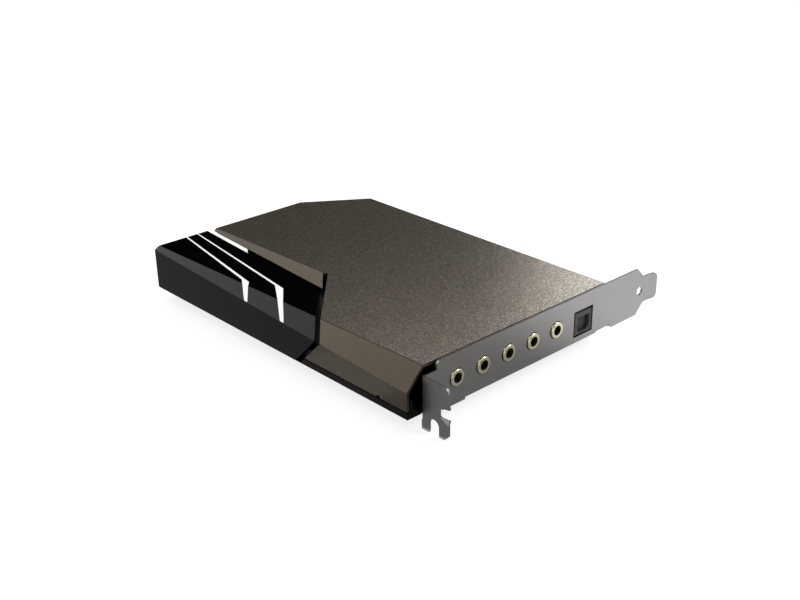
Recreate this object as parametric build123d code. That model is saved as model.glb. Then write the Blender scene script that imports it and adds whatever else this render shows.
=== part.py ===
from build123d import *
import math
import os

# Expansion sound card with a folded slot bracket, a painted cover and a light window. Millimetres.
# Card datum: X = 0 on the bracket's outer face, Y = 0 on the flange's outer face, Z = 0 under the board.

# Slot bracket, one folded sheet
sheet = 0.86
bend_inside = 0.2
bracket_length = 120.02
bracket_width = 18.42
bracket_below_board = 1.63
bracket_step_setback = 6.1
bracket_step_radius = 2.4
tongue_length = 7.27
tongue_width = 10.19
tongue_tip_radius = 1.9
tongue_kink_length = 4.6
tongue_kink_angle = 10.0
tongue_hole_diameter = 3.4
tongue_hole_from_tip = 9.62
edge_recess_start = 18.9
edge_recess_end = 94.4
flange_reach = 11.2
flange_top_setback = 3.1
flange_below_plate = 3.23
flange_leg_overhang = 0.55
flange_corner_radius = 2.2
leg_chamfer = 1.75
screw_notch_width = 4.42
screw_notch_offset = 4.91
screw_notch_depth = 5.36
guide_notch_height = 3.05
guide_notch_depth = 4.0
guide_notch_drop = 8.05
ear_fold_angle = 28.0
ear_root = 0.2
upper_ear_height = 2.1
lower_ear_height = 1.85
tab_length = 9.2
tab_width = 6.4
tab_offsets = (5.1, 89.2)
bend_relief = 0.4

# Circuit board and its edge connector
board_thickness = 1.6
board_front_gap = 1.5
board_far = 92.0
board_edge_inset = 1.8
board_edge_gap = 0.1
connector_start = 45.0
connector_reach = 9.2
connector_bevel = 0.5
contact_pitch = 1.0
contact_width = 0.7
contact_length = 5.6
contact_thickness = 0.05
first_contact_count = 11
second_contact_count = 7
contact_margin = 0.33
key_width = 1.9
lead_below_board = 1.0
hole_clearance = 0.15

# Painted cover
cover_length = 143.2
cover_front_gap = 1.8
cover_near = -5.2
cover_far = 91.1
cover_height = 14.05
cover_over_board = 0.75
cover_wall = 1.0
cover_corner_x = 17.4
cover_corner_y = 24.5
chamfer_front_drop = 7.42
chamfer_front_depth = 6.8
chamfer_back_drop = 1.1
chamfer_back_depth = 2.1
least_chamfer = 0.1
edge_notch_setback = 12.5
edge_notch_width = 1.6
edge_notch_height = 0.8

# Slot and groove between the cover and the light window
slot_width = 1.9
slot_reference = 49.0
slot_plan_angle = 43.2
slot_wall_angle = 45.0
groove_top_back = 23.5
groove_top_end = 25.4
groove_foot_back = 22.45
groove_foot_end = 21.6
groove_end_lead = 0.9
groove_undercut_lift = 0.05

# Light window and light guide
window_wall = 1.6
window_far_back = 19.4
window_far_end = 13.4
strip_clearance = 0.05
strip_width = 1.05
guide_thickness = 1.5
guide_gap = 0.1
guide_skirt_drop = 4.2
thin_strip_back = (9.95, 15.1)
bar_start_setback = (91.68, 78.8)
bar_start_inset = (5.82, 11.25)
bar_start_rise = 0.62
bar_end_setback = (83.58, 62.68)
bar_start_width = (3.55, 4.0)
bar_end_width = (1.9, 2.1)
bar_end_inset = 0.1
groove_bar_length = 23.0
groove_bar_setback = 0.3
light_board_thickness = 0.8
light_board_end_gap = 3.0
light_board_width = 11.0
light_board_back = 12.0
led_count = 5
led_size = 3.0
led_height = 1.0

# Inner frame
frame_inset = 0.05
frame_skirt_drop = 0.4
frame_lip_rise = 0.3
frame_neck_inset = 0.6
front_skirt_end = 1.0
frame_lip_width = 2.9
frame_fit = 0.15
frame_wall = 1.2
frame_upstand = 3.5
tray_level = 10.0
tray_thickness = 1.2
tray_margin = 3.0
post_radius = 3.0
post_merge = 0.5
frame_screw_radius = 1.3
frame_screw_clearance = 0.05
frame_screw_depth = 5.0
foot_clearance = 0.6
screw_head_radius = 2.5
screw_head_height = 1.6
far_post_setbacks = (16.5, 97.0)
near_post_setback = 24.0
window_post_setback = 118.0
back_post_offset = 45.0

# Analogue jacks
jack_count = 5
jack_first = 14.97
jack_pitch = 12.1
jack_axis_height = 7.84
jack_bore_radius = 1.8
collar_radius = 2.95
collar_front = 0.57
collar_barrel_radius = 2.5
collar_barrel_depth = 4.0
collar_edge_break = 0.2
collar_key_angle = 45.0
collar_key_width = 0.8
collar_key_depth = 0.7
bracket_hole_clearance = 0.25
jack_front_gap = 0.15
jack_width = 11.4
jack_depth = 14.0
jack_top_over_axis = 4.6
jack_edge_break = 0.5
jack_cavity_relief = 0.3
jack_back_wall = 1.2
jack_seat_clearance = 0.05
contact_strip = 0.3
contact_blade = 1.2
contact_setbacks = (5.8, 8.6, 11.4)
contact_pocket_clearance = 0.1

# Optical port with a sprung flap
optical_centre = 78.45
optical_cutout_centre = 77.95
optical_cutout_width = 10.3
optical_cutout_top = 11.16
optical_cutout_bottom = 1.29
optical_width = 9.1
optical_height = 8.4
optical_face_setback = 0.4
optical_depth = 13.6
optical_front_wall = 1.0
optical_floor = 0.35
optical_cavity_width = 6.9
optical_cavity_height = 7.4
optical_cavity_depth = 9.6
mouth_width = 6.2
mouth_height = 6.0
mouth_corner = 1.2
mouth_rise = 0.6
mouth_key_depth = 0.35
mouth_key_height = 1.4
flap_thickness = 0.75
flap_gap = 0.15
flap_side_gap = 0.2
hinge_barrel_radius = 0.5
hinge_pin_radius = 0.3
hinge_clearance = 0.05
hinge_pin_seat = 0.55
hinge_pin_fit = 0.02
emitter_lens_radius = 1.2
emitter_lens_reach = 1.2
emitter_width = 4.0
emitter_depth = 2.2
emitter_height = 5.4
emitter_clearance = 0.1
emitter_lead = 0.5
emitter_lead_pitch = 1.27

# Parts on the board, in rows behind the jacks
parts_gap = 3.0
front_rows_start = 14.0
processor_size = 16.0
processor_height = 1.6
processor_leads = 1.2
converter_size = 9.0
converter_height = 1.0
amplifier_size = 5.0
amplifier_height = 1.2
amplifier_count = 2
op_amp_length = 4.9
op_amp_width = 3.9
op_amp_height = 1.6
op_amp_leads = 1.0
op_amp_count = 6
electrolytic_radius = 3.15
electrolytic_height = 8.0
electrolytic_base = 6.6
electrolytic_base_height = 1.0
electrolytic_gap = 2.4
electrolytic_columns = 5
electrolytic_rows = 2
film_length = 7.2
film_width = 3.5
film_height = 8.5
film_count = 6
relay_length = 10.0
relay_width = 7.4
relay_height = 5.8
relay_count = 3
crystal_length = 11.0
crystal_width = 4.6
crystal_height = 3.5
crystal_end = 1.6
crystal_count = 2
regulator_length = 6.5
regulator_width = 3.5
regulator_height = 1.8
regulator_leads = 1.0
regulator_count = 2
inductor_size = 6.6
inductor_height = 3.0
inductor_count = 3
hidden_facets = 8
chip_edge_break = 0.25

# Levels and edges worked out from the driving dimensions
board_top = board_thickness
plate_bottom = -bracket_below_board
plate_top = plate_bottom + bracket_width
plate_middle = (plate_top + plate_bottom) / 2
bend_outside = bend_inside + sheet
flange_top = plate_top - flange_top_setback
flange_bottom = plate_bottom - flange_below_plate
cover_front_x = -cover_front_gap
cover_back_x = cover_front_x - cover_length
cover_bottom = board_top + cover_over_board
cover_top = cover_bottom + cover_height
tray_bottom = tray_level - tray_thickness
board_front_x = -board_front_gap
frame_lip_inner = frame_neck_inset + frame_lip_width
skirt_bottom = -frame_skirt_drop
frame_ring_outer = cover_wall + frame_fit
frame_ring_inner = frame_ring_outer + frame_wall
window_ring = window_wall + frame_fit
margin = 1.0


def block(x_range, y_range, z_range):
    """A box between two values on each axis."""
    size = [high - low for low, high in (x_range, y_range, z_range)]
    return Pos(x_range[0], y_range[0], z_range[0]) * Box(*size, align=Align.MIN)


def prism_z(points, low, high):
    """An XY outline raised from low to high."""
    return Pos(0, 0, low) * extrude(Polygon(*points, align=None), high - low, dir=(0, 0, 1))


def upright_x(sketch, low, high):
    """A YZ sketch, drawn flat, stood up and swept along X from low to high."""
    plane = Plane((low, 0, 0), x_dir=(0, 1, 0), z_dir=(1, 0, 0))
    return extrude(plane * sketch, high - low, dir=(1, 0, 0))


def upright_y(sketch, low, high):
    """An XZ sketch, drawn flat, stood up and swept along Y from low to high."""
    plane = Plane((0, high, 0), x_dir=(1, 0, 0), z_dir=(0, -1, 0))
    return extrude(plane * sketch, high - low, dir=(0, -1, 0))


def rod_x(low, high, y, z, radius):
    """A round bar along X."""
    return upright_x(Pos(y, z) * Circle(radius), low, high)


def rod_y(low, high, x, z, radius):
    """A round bar along Y."""
    return upright_y(Pos(x, z) * Circle(radius), low, high)


def rounded(sketch, corner, radius):
    """The sketch with the corner nearest a point rounded."""
    vertex = sketch.vertices().sort_by_distance((corner[0], corner[1], 0))[0]
    return fillet(vertex, radius)


def quarter_bend(side_x, side_y):
    """Section of a right-angle fold, with its centre at the origin, in one quadrant."""
    ring = Circle(bend_outside) - Circle(bend_inside)
    half = bend_outside / 2
    quadrant = Pos(side_x * half, side_y * half) * Rectangle(bend_outside, bend_outside)
    return ring & quadrant


def group(pieces):
    """Separate solids kept together in one node."""
    return Compound([solid for piece in pieces for solid in piece.solids()])


def jack_centres():
    """Y of each jack axis."""
    return row(jack_first, jack_pitch, jack_count)


def faceted_x(low, high, y, z, radius):
    """A many-sided bar along X for a hidden feature that repeats, with the radius at its flats."""
    outline = RegularPolygon(radius, hidden_facets, major_radius=False)
    return upright_x(Pos(y, z) * outline, low, high)


def faceted_z(low, high, x, y, radius):
    """A many-sided bar along Z for a hidden feature that repeats, with the radius at its flats."""
    outline = RegularPolygon(radius, hidden_facets, major_radius=False)
    return Pos(x, y, low) * extrude(outline, high - low, dir=(0, 0, 1))


def row(first, pitch, count):
    """Evenly spaced values."""
    return [first + pitch * index for index in range(count)]


# Bracket

def flange_outline():
    """The flange seen from its outer face, in X and Z, without its screw notch and ears."""
    notch_top = flange_top - guide_notch_drop
    notch_bottom = notch_top - guide_notch_height
    notch_root = flange_reach - guide_notch_depth
    points = [
        (bend_inside, flange_top),
        (flange_reach, flange_top),
        (flange_reach, notch_top + upper_ear_height),
        (notch_root + ear_root, notch_top),
        (notch_root, notch_top),
        (notch_root, notch_bottom),
        (notch_root + ear_root, notch_bottom),
        (flange_reach, notch_bottom - lower_ear_height),
        (flange_reach, flange_bottom + leg_chamfer),
        (flange_reach - leg_chamfer, flange_bottom),
        (-flange_leg_overhang, flange_bottom),
        (-flange_leg_overhang, plate_bottom),
        (bend_inside, plate_bottom),
    ]
    return rounded(Polygon(*points, align=None), points[1], flange_corner_radius)


def folded_ear(root, shoulder, tip):
    """One corner beside the guide notch, bent away from the outer face about its root line."""
    ear = upright_y(Polygon(root, shoulder, tip, align=None), 0, sheet)
    along = (shoulder[0] - root[0], shoulder[1] - root[1])
    turn = along[1] * (tip[0] - root[0]) - along[0] * (tip[1] - root[1])
    axis = Axis((root[0], 0, root[1]), (along[0], 0, along[1]))
    return ear.rotate(axis, math.copysign(ear_fold_angle, turn))


def bracket_flange():
    """Flange with its screw notch, guide notch and two folded ears."""
    notch_radius = screw_notch_width / 2
    notch_centre_z = flange_bottom + screw_notch_depth - notch_radius
    notch_height = notch_centre_z - flange_bottom + margin
    notch = Pos(screw_notch_offset, notch_centre_z) * Circle(notch_radius)
    way_in = Rectangle(screw_notch_width, notch_height)
    notch += Pos(screw_notch_offset, notch_centre_z - notch_height / 2) * way_in
    flange = upright_y(flange_outline() - notch, 0, sheet)
    guide_top = flange_top - guide_notch_drop
    guide_bottom = guide_top - guide_notch_height
    root_x = flange_reach - guide_notch_depth + ear_root
    for level, height in ((guide_top, upper_ear_height), (guide_bottom, -lower_ear_height)):
        flange += folded_ear((root_x, level), (flange_reach, level + height), (flange_reach, level))
    return flange


def bracket_plate():
    """Plate with its stepped corner, recessed lower edge, shoulders, holes and port cut-out."""
    shoulder = (bracket_width - tongue_width) / 2
    shoulder_end = bracket_length - tongue_length
    shoulder_start = shoulder_end - shoulder
    kink = bracket_length - tongue_kink_length
    points = [
        (bend_outside, plate_bottom),
        (edge_recess_start, plate_bottom),
        (edge_recess_start, -sheet),
        (edge_recess_end, -sheet),
        (edge_recess_end, plate_bottom),
        (shoulder_start, plate_bottom),
        (shoulder_end, plate_bottom + shoulder),
        (kink, plate_bottom + shoulder),
        (kink, plate_top - shoulder),
        (shoulder_end, plate_top - shoulder),
        (shoulder_start, plate_top),
        (bracket_step_setback, plate_top),
        (bracket_step_setback, flange_top),
        (bend_outside, flange_top),
    ]
    outline = rounded(Polygon(*points, align=None), (bracket_step_setback, plate_top), bracket_step_radius)
    plate = upright_x(outline, -sheet, 0)
    for y in jack_centres():
        plate -= rod_x(-sheet - margin, margin, y, jack_axis_height, collar_radius + bracket_hole_clearance)
    plate -= block(
        (-sheet - margin, margin),
        (optical_cutout_centre - optical_cutout_width / 2, optical_cutout_centre + optical_cutout_width / 2),
        (optical_cutout_bottom, optical_cutout_top),
    )
    hole_y = bracket_length - tongue_hole_from_tip
    plate -= rod_x(-sheet - margin, margin, hole_y, plate_middle, tongue_hole_diameter / 2)
    return plate


def bracket_tongue_tip():
    """End of the tongue, kinked outwards for the slot behind the chassis."""
    half = tongue_width / 2
    start = bracket_length - tongue_kink_length
    outline = Polygon(
        (start, plate_middle - half),
        (bracket_length, plate_middle - half),
        (bracket_length, plate_middle + half),
        (start, plate_middle + half),
        align=None,
    )
    for side in (-half, half):
        outline = rounded(outline, (bracket_length, plate_middle + side), tongue_tip_radius)
    tip = upright_x(outline, -sheet, 0)
    return tip.rotate(Axis((-sheet, start, 0), (0, 0, 1)), -tongue_kink_angle)


def bracket_tab(centre_y):
    """One foot folded under the board, with its tapped hole."""
    span = (centre_y - tab_width / 2, centre_y + tab_width / 2)
    bend = upright_y(quarter_bend(1, -1), *span)
    foot = block((-tab_length, -bend_outside), span, (-sheet, 0))
    hole_radius = frame_screw_radius + frame_screw_clearance
    hole = faceted_z(-sheet - margin, margin, tab_screw_x(), centre_y, hole_radius)
    return Pos(-bend_outside, 0, bend_inside) * bend + foot - hole


def tab_screw_x():
    """X of the screws in the bracket's feet."""
    return -(bend_outside + tab_length) / 2


def make_bracket():
    """Slot bracket as one folded sheet."""
    corner = quarter_bend(-1, -1)
    height = flange_top - plate_bottom
    bend = Pos(bend_inside, bend_outside, plate_bottom) * extrude(corner, height, dir=(0, 0, 1))
    plate = bracket_plate()
    half = tab_width / 2 + bend_relief
    for centre_y in tab_offsets:
        y_range = (centre_y - half, centre_y + half)
        plate -= block((-sheet - margin, margin), y_range, (plate_bottom - margin, bend_inside))
    bracket = plate + bend + bracket_flange() + bracket_tongue_tip()
    for centre_y in tab_offsets:
        bracket += bracket_tab(centre_y)
    return bracket


def make_bracket_screws():
    """Screws that pass down through the board into the bracket's feet."""
    screws = []
    for centre_y in tab_offsets:
        head_top = board_top + screw_head_height
        head = faceted_z(board_top, head_top, tab_screw_x(), centre_y, screw_head_radius)
        shank = faceted_z(-sheet, board_top, tab_screw_x(), centre_y, frame_screw_radius)
        screws.append(head + shank)
    return group(screws)


# Circuit board

def plan_outline(inset, front_x):
    """Plan of the cover, drawn in by an inset, with its cut far corner."""
    corner_length = math.hypot(cover_corner_x, cover_corner_y)
    shift_x = inset * (corner_length - cover_corner_x) / cover_corner_y
    shift_y = inset * (corner_length - cover_corner_y) / cover_corner_x
    back = cover_back_x + inset
    near = cover_near + inset
    far = cover_far - inset
    return [
        (front_x, near),
        (front_x, far),
        (cover_back_x + cover_corner_x + shift_y, far),
        (back, cover_far - cover_corner_y - shift_x),
        (back, near),
    ]


def connector_spans():
    """X spans of the two contact groups of the edge connector."""
    first = first_contact_count * contact_pitch + 2 * contact_margin
    second = second_contact_count * contact_pitch + 2 * contact_margin
    start = -connector_start
    return [(start - first, start), (start - first - key_width - second, start - first - key_width)]


def contact_places():
    """X of each contact of the edge connector."""
    places = []
    for span, count in zip(connector_spans(), (first_contact_count, second_contact_count)):
        places += [span[1] - contact_margin - contact_pitch * (index + 0.5) for index in range(count)]
    return places


def edge_contact_tip():
    """Y of the connector's free edge."""
    return board_far + connector_reach


def board_outline(gap, front_x):
    """Plan of the board, let out by a gap, inside the frame's skirt on the near side and at the back."""
    inset = board_edge_inset - gap
    plan = plan_outline(inset, front_x)
    corner = (board_front_x - inset, front_skirt_end + board_edge_gap - gap)
    return [
        (corner[0], plan[0][1]),
        corner,
        (front_x, corner[1]),
        (front_x, board_far),
        (plan[2][0], board_far),
        plan[2],
        plan[3],
        plan[4],
    ]


def make_circuit_board():
    """Board with its bevelled edge connector and every hole that a lead or screw passes through."""
    board = prism_z(board_outline(0, board_front_x), 0, board_top)
    section = Polygon(
        (board_far - margin, 0),
        (edge_contact_tip() - 2 * connector_bevel, 0),
        (edge_contact_tip(), connector_bevel),
        (edge_contact_tip(), board_top - connector_bevel),
        (edge_contact_tip() - 2 * connector_bevel, board_top),
        (board_far - margin, board_top),
        align=None,
    )
    for span in connector_spans():
        board += upright_x(section, *span)
    for x, y, radius in board_holes():
        board -= faceted_z(-margin, board_top + margin, x, y, radius)
    for x, y, size_x, size_y in board_slots():
        half_x = size_x / 2 + hole_clearance
        half_y = size_y / 2 + hole_clearance
        board -= block((x - half_x, x + half_x), (y - half_y, y + half_y), (-margin, board_top + margin))
    return board


def board_holes():
    """Round holes: X, Y and radius."""
    radius = frame_screw_radius + hole_clearance
    places = [(tab_screw_x(), centre_y) for centre_y in tab_offsets] + post_places()
    return [(x, y, radius) for x, y in places]


def board_slots():
    """Rectangular holes for flat leads: X, Y and the lead's two widths."""
    slots = []
    for centre_y in jack_centres():
        slots += [(x, centre_y + side, contact_blade, contact_strip) for x, side in jack_blades()]
    slots += [(emitter_lead_x(), y, emitter_lead, emitter_lead) for y in emitter_lead_places()]
    return slots


def make_edge_contacts():
    """Plated contacts on both faces of the edge connector."""
    end = edge_contact_tip() - 2 * connector_bevel
    contacts = []
    for x in contact_places():
        x_range = (x - contact_width / 2, x + contact_width / 2)
        for low in (-contact_thickness, board_top):
            contacts.append(block(x_range, (end - contact_length, end), (low, low + contact_thickness)))
    return group(contacts)


# Covers

def section_points(depth, drop, inset):
    """Cross-section of the covers, drawn in by an inset, with its near chamfer and open depth below."""
    slope = drop / depth
    lift = inset * math.hypot(1, slope)
    near = cover_near + inset
    far = cover_far - inset
    top = cover_top - inset
    low_z = min(cover_top - drop + slope * inset - lift, top - least_chamfer)
    high_y = max(cover_near + (drop - inset + lift) / slope, near + least_chamfer)
    return [(near, flange_bottom), (near, low_z), (high_y, top), (far, top), (far, flange_bottom)]


def cover_form(inset, floor):
    """Solid form of the covers, drawn in by an inset, with the tapering chamfer and the cut corner."""
    sections = []
    ends = (
        (cover_front_x, chamfer_front_depth, chamfer_front_drop),
        (cover_back_x, chamfer_back_depth, chamfer_back_drop),
    )
    for x, depth, drop in ends:
        plane = Plane((x, 0, 0), x_dir=(0, 1, 0), z_dir=(1, 0, 0))
        sections.append(plane * Polygon(*section_points(depth, drop, inset), align=None))
    form = loft(sections, ruled=True)
    return form & prism_z(plan_outline(inset, cover_front_x), floor, cover_top)


def slot_x(y, side):
    """X of the slot's window edge (side -1), middle (0) or cover edge (1) at a Y, seen from above."""
    angle = math.radians(slot_plan_angle)
    middle = cover_front_x - slot_reference - y / math.tan(angle)
    return middle + side * slot_width / 2 / math.sin(angle)


def slot_wall_x(z, side):
    """X of the slot's edges or middle on the near wall at a height."""
    angle = math.radians(slot_wall_angle)
    middle = slot_x(cover_near, 0) - (chamfer_low_z(slot_x(cover_near, 0)) - z) * math.tan(angle)
    return middle + side * slot_width / 2 / math.cos(angle)


def chamfer_low_z(x):
    """Height of the near chamfer's lower edge at an X."""
    share = (cover_front_x - x) / cover_length
    return cover_top - chamfer_front_drop - (chamfer_back_drop - chamfer_front_drop) * share


def behind_slot(side, inset, far_back, far_end):
    """Room behind the slot, between the near wall and a far line, drawn in by an inset."""
    angle = math.radians(slot_plan_angle)
    low = cover_near - margin
    plan_shift = inset / math.sin(angle)
    wall_shift = inset / math.cos(math.radians(slot_wall_angle))
    plan = [
        (slot_x(low, side) - plan_shift, low),
        (slot_x(far_end - inset, side) - plan_shift, far_end - inset),
        (cover_back_x - margin, far_back - inset),
        (cover_back_x - margin, low),
    ]
    bottom = flange_bottom
    top = cover_top + margin
    wall = Polygon(
        (slot_wall_x(bottom, side) - wall_shift, bottom),
        (slot_wall_x(top, side) - wall_shift, top),
        (cover_back_x - margin, top),
        (cover_back_x - margin, bottom),
        align=None,
    )
    return prism_z(plan, bottom, top) & upright_y(wall, low, cover_far)


def groove_line(x, back_y, end_y):
    """Y at an X on a straight line along the groove."""
    end_x = slot_x(end_y, -1)
    return back_y + (end_y - back_y) * (x - cover_back_x) / (end_x - cover_back_x)


def groove_wedge(drop):
    """Cut that leaves the bevel along the groove, lowered by a drop."""
    reach = groove_top_end + cover_height
    foot = min(groove_foot_back, groove_foot_end) - margin
    level = cover_top - drop
    sections = []
    for x in (cover_back_x - margin, slot_x(foot, 0)):
        top_y = groove_line(x, groove_top_back, groove_top_end)
        plane = Plane((x, 0, 0), x_dir=(0, 1, 0), z_dir=(1, 0, 0))
        outline = Polygon(
            (top_y - reach, level - reach),
            (top_y + reach, level + reach),
            (top_y - reach, level + reach),
            align=None,
        )
        sections.append(plane * outline)
    limit = [
        (slot_x(foot, 0), foot),
        (slot_x(groove_top_end, 0), groove_top_end),
        (slot_x(groove_top_end, 0), cover_far),
        (cover_back_x - margin, cover_far),
        (cover_back_x - margin, foot),
    ]
    return loft(sections, ruled=True) & prism_z(limit, flange_bottom, cover_top + reach)


def groove_foot_z(x):
    """Height of the foot of the groove's bevel at an X."""
    top_y = groove_line(x, groove_top_back, groove_top_end)
    return cover_top - top_y + groove_line(x, groove_foot_back, groove_foot_end)


def groove_undercut():
    """Cut that ends the bevel in a level underside at its foot."""
    thickness = cover_wall * math.sqrt(2)
    sections = []
    for x in (cover_back_x - margin, slot_x(groove_foot_end, 1)):
        foot_y = groove_line(x, groove_foot_back, groove_foot_end)
        level = groove_foot_z(x) + groove_undercut_lift
        plane = Plane((x, 0, 0), x_dir=(0, 1, 0), z_dir=(1, 0, 0))
        outline = Polygon(
            (foot_y - margin, level),
            (foot_y + thickness, level),
            (foot_y + thickness, cover_bottom - margin),
            (foot_y - margin, cover_bottom - margin),
            align=None,
        )
        sections.append(plane * outline)
    return loft(sections, ruled=True)


def make_top_cover():
    """Painted cover: a shell open below and towards the bracket, cut away round the light window."""
    shell = cover_form(0, cover_bottom) - groove_wedge(0)
    hollow = cover_form(cover_wall, cover_bottom - margin) - groove_wedge(cover_wall * math.sqrt(2))
    shell -= hollow
    shell -= behind_slot(1, 0, groove_foot_back, groove_foot_end)
    shell -= groove_undercut()
    slot_end = [
        (slot_x(cover_near, -1), cover_near),
        (slot_x(groove_top_end, -1), groove_top_end),
        (slot_x(groove_top_end + groove_end_lead, 1), groove_top_end + groove_end_lead),
        (slot_x(cover_near, 1), cover_near),
    ]
    shell -= prism_z(slot_end, tray_level, cover_top + margin)
    for room in foot_rooms(board_top + screw_head_height + foot_clearance):
        shell -= room
    notch_x = cover_front_x - edge_notch_setback
    shell -= block(
        (notch_x - edge_notch_width, notch_x),
        (cover_near - margin, cover_near + cover_wall + margin),
        (cover_bottom - margin, cover_bottom + edge_notch_height),
    )
    return shell


def window_room(inset, floor):
    """Solid form of the light window, drawn in by an inset."""
    return cover_form(inset, floor) & behind_slot(-1, inset, window_far_back, window_far_end)


def strip_outline(index):
    """Plan outline of one lit strip: a thin line from the back edge, then a tapering bar."""
    back = cover_back_x - margin
    back_y = thin_strip_back[index]
    half = strip_width / 2
    start_x = cover_front_x - bar_start_setback[index]
    start_y = cover_near + bar_start_inset[index]
    start_half = bar_start_width[index] / 2
    end_x = cover_front_x - bar_end_setback[index]
    end_y = cover_near + bar_end_inset
    end_half = bar_end_width[index] / 2
    return Polygon(
        (back, back_y - half),
        (back, back_y + half),
        (start_x + start_half, start_y + bar_start_rise),
        (end_x + end_half, end_y),
        (end_x - end_half, end_y),
        (start_x - start_half, start_y),
        align=None,
    )


def strip_room(shrink):
    """Upright room of the lit strips, drawn in by a clearance."""
    rooms = []
    for index, setback in enumerate(bar_end_setback):
        low = chamfer_low_z(cover_front_x - setback) + shrink
        outline = strip_outline(index)
        if shrink:
            outline = offset(outline, -shrink, kind=Kind.INTERSECTION)
        rooms.append(Pos(0, 0, low) * extrude(outline, cover_top + margin - low, dir=(0, 0, 1)))
    return rooms[0] + rooms[1:]


def make_light_window():
    """Gloss window that wraps the near edge, with slots for the lit strips."""
    floor = skirt_bottom
    window = window_room(0, floor) - window_room(window_wall, floor - margin)
    inner_x = cover_back_x + window_wall
    inner_y = cover_near + window_wall
    window -= block((inner_x, 0), (inner_y, cover_far), (floor - margin, tray_level))
    return window - strip_room(0)


def make_light_guide():
    """Moulded guide under the window, with ribs that fill the window's slots."""
    depth = window_wall + guide_gap
    floor = cover_top - depth - guide_skirt_drop
    shell = window_room(depth, floor) - window_room(depth + guide_thickness, floor - margin)
    ribs = window_room(0, floor) - window_room(depth + guide_thickness / 2, floor - margin)
    return shell + (ribs & strip_room(strip_clearance))


def make_groove_light_bar():
    """Light bar that fills the back of the groove up to the foot of the bevel."""
    back = cover_back_x + groove_bar_setback
    end = back + groove_bar_length
    near = [(x, groove_line(x, window_far_back, window_far_end) + guide_gap) for x in (back, end)]
    far = [(x, groove_line(x, groove_foot_back, groove_foot_end) - guide_gap) for x in (end, back)]
    side = Polygon(
        (back, tray_level),
        (end, tray_level),
        (end, groove_foot_z(end)),
        (back, groove_foot_z(back)),
        align=None,
    )
    return prism_z(near + far, tray_level, cover_top) & upright_y(side, cover_near, cover_far)


# Light board

def light_board_y():
    """Y of the middle of the light board."""
    return cover_near + window_ring + light_board_width / 2 + guide_thickness + margin


def light_board_span():
    """X span of the light board, from the back wall to the slanting wall of the window."""
    far = light_board_y() + light_board_width / 2
    wall = (window_wall + guide_thickness) / math.sin(math.radians(slot_plan_angle))
    return (cover_back_x + light_board_back, slot_x(far, -1) - wall - light_board_end_gap)


def make_light_board():
    """Small board on the tray that carries the lamps."""
    y = light_board_y()
    half = light_board_width / 2
    return block(light_board_span(), (y - half, y + half), (tray_level, tray_level + light_board_thickness))


def make_light_leds():
    """Lamps on the light board."""
    back, front = light_board_span()
    pitch = (front - back) / led_count
    base = tray_level + light_board_thickness
    places = [(x, light_board_y()) for x in row(back + pitch / 2, pitch, led_count)]
    return group([chip(place, led_size, led_size, base, led_height) for place in places])


# Inner frame

def post_places():
    """X and Y of the screw posts, each merged with the frame's wall."""
    reach = frame_ring_inner + post_radius - post_merge
    places = [(-setback, cover_far - reach) for setback in far_post_setbacks]
    places.append((-near_post_setback, cover_near + reach))
    places.append((cover_back_x + reach, back_post_offset))
    window_reach = window_ring + frame_wall + post_radius - post_merge
    places.append((-window_post_setback, cover_near + window_reach))
    return places


def post_top(x, y):
    """Top of a post: under the tray, inside the near chamfer, or against the cover."""
    if y > groove_top_end:
        return cover_top - cover_wall
    if x < slot_wall_x(board_top, 1):
        return tray_level
    return cover_bottom + frame_upstand


def foot_rooms(top):
    """Room over the board for the heads of the bracket's screws, open towards the bracket."""
    half = screw_head_radius + foot_clearance
    rooms = []
    for centre_y in tab_offsets:
        x_range = (tab_screw_x() - half, margin)
        rooms.append(block(x_range, (centre_y - half, centre_y + half), (board_top - margin, top)))
    return rooms


def frame_ring(outer, inner, low, high):
    """Wall that follows the cover's plan, open towards the bracket."""
    ring = prism_z(plan_outline(outer, board_front_x), low, high)
    return ring - prism_z(plan_outline(inner, margin), low - margin, high + margin)


def tray_far():
    """Y of the tray's far edge."""
    return groove_top_end + groove_end_lead + tray_margin


def tray_outline():
    """Plan of the tray under the light window, the groove and the slot."""
    near = cover_near + window_ring
    far = tray_far()
    return [
        (slot_x(near, 1) + tray_margin, near),
        (slot_x(far, 1) + tray_margin, far),
        (cover_back_x + window_ring, far),
        (cover_back_x + window_ring, near),
    ]


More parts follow.
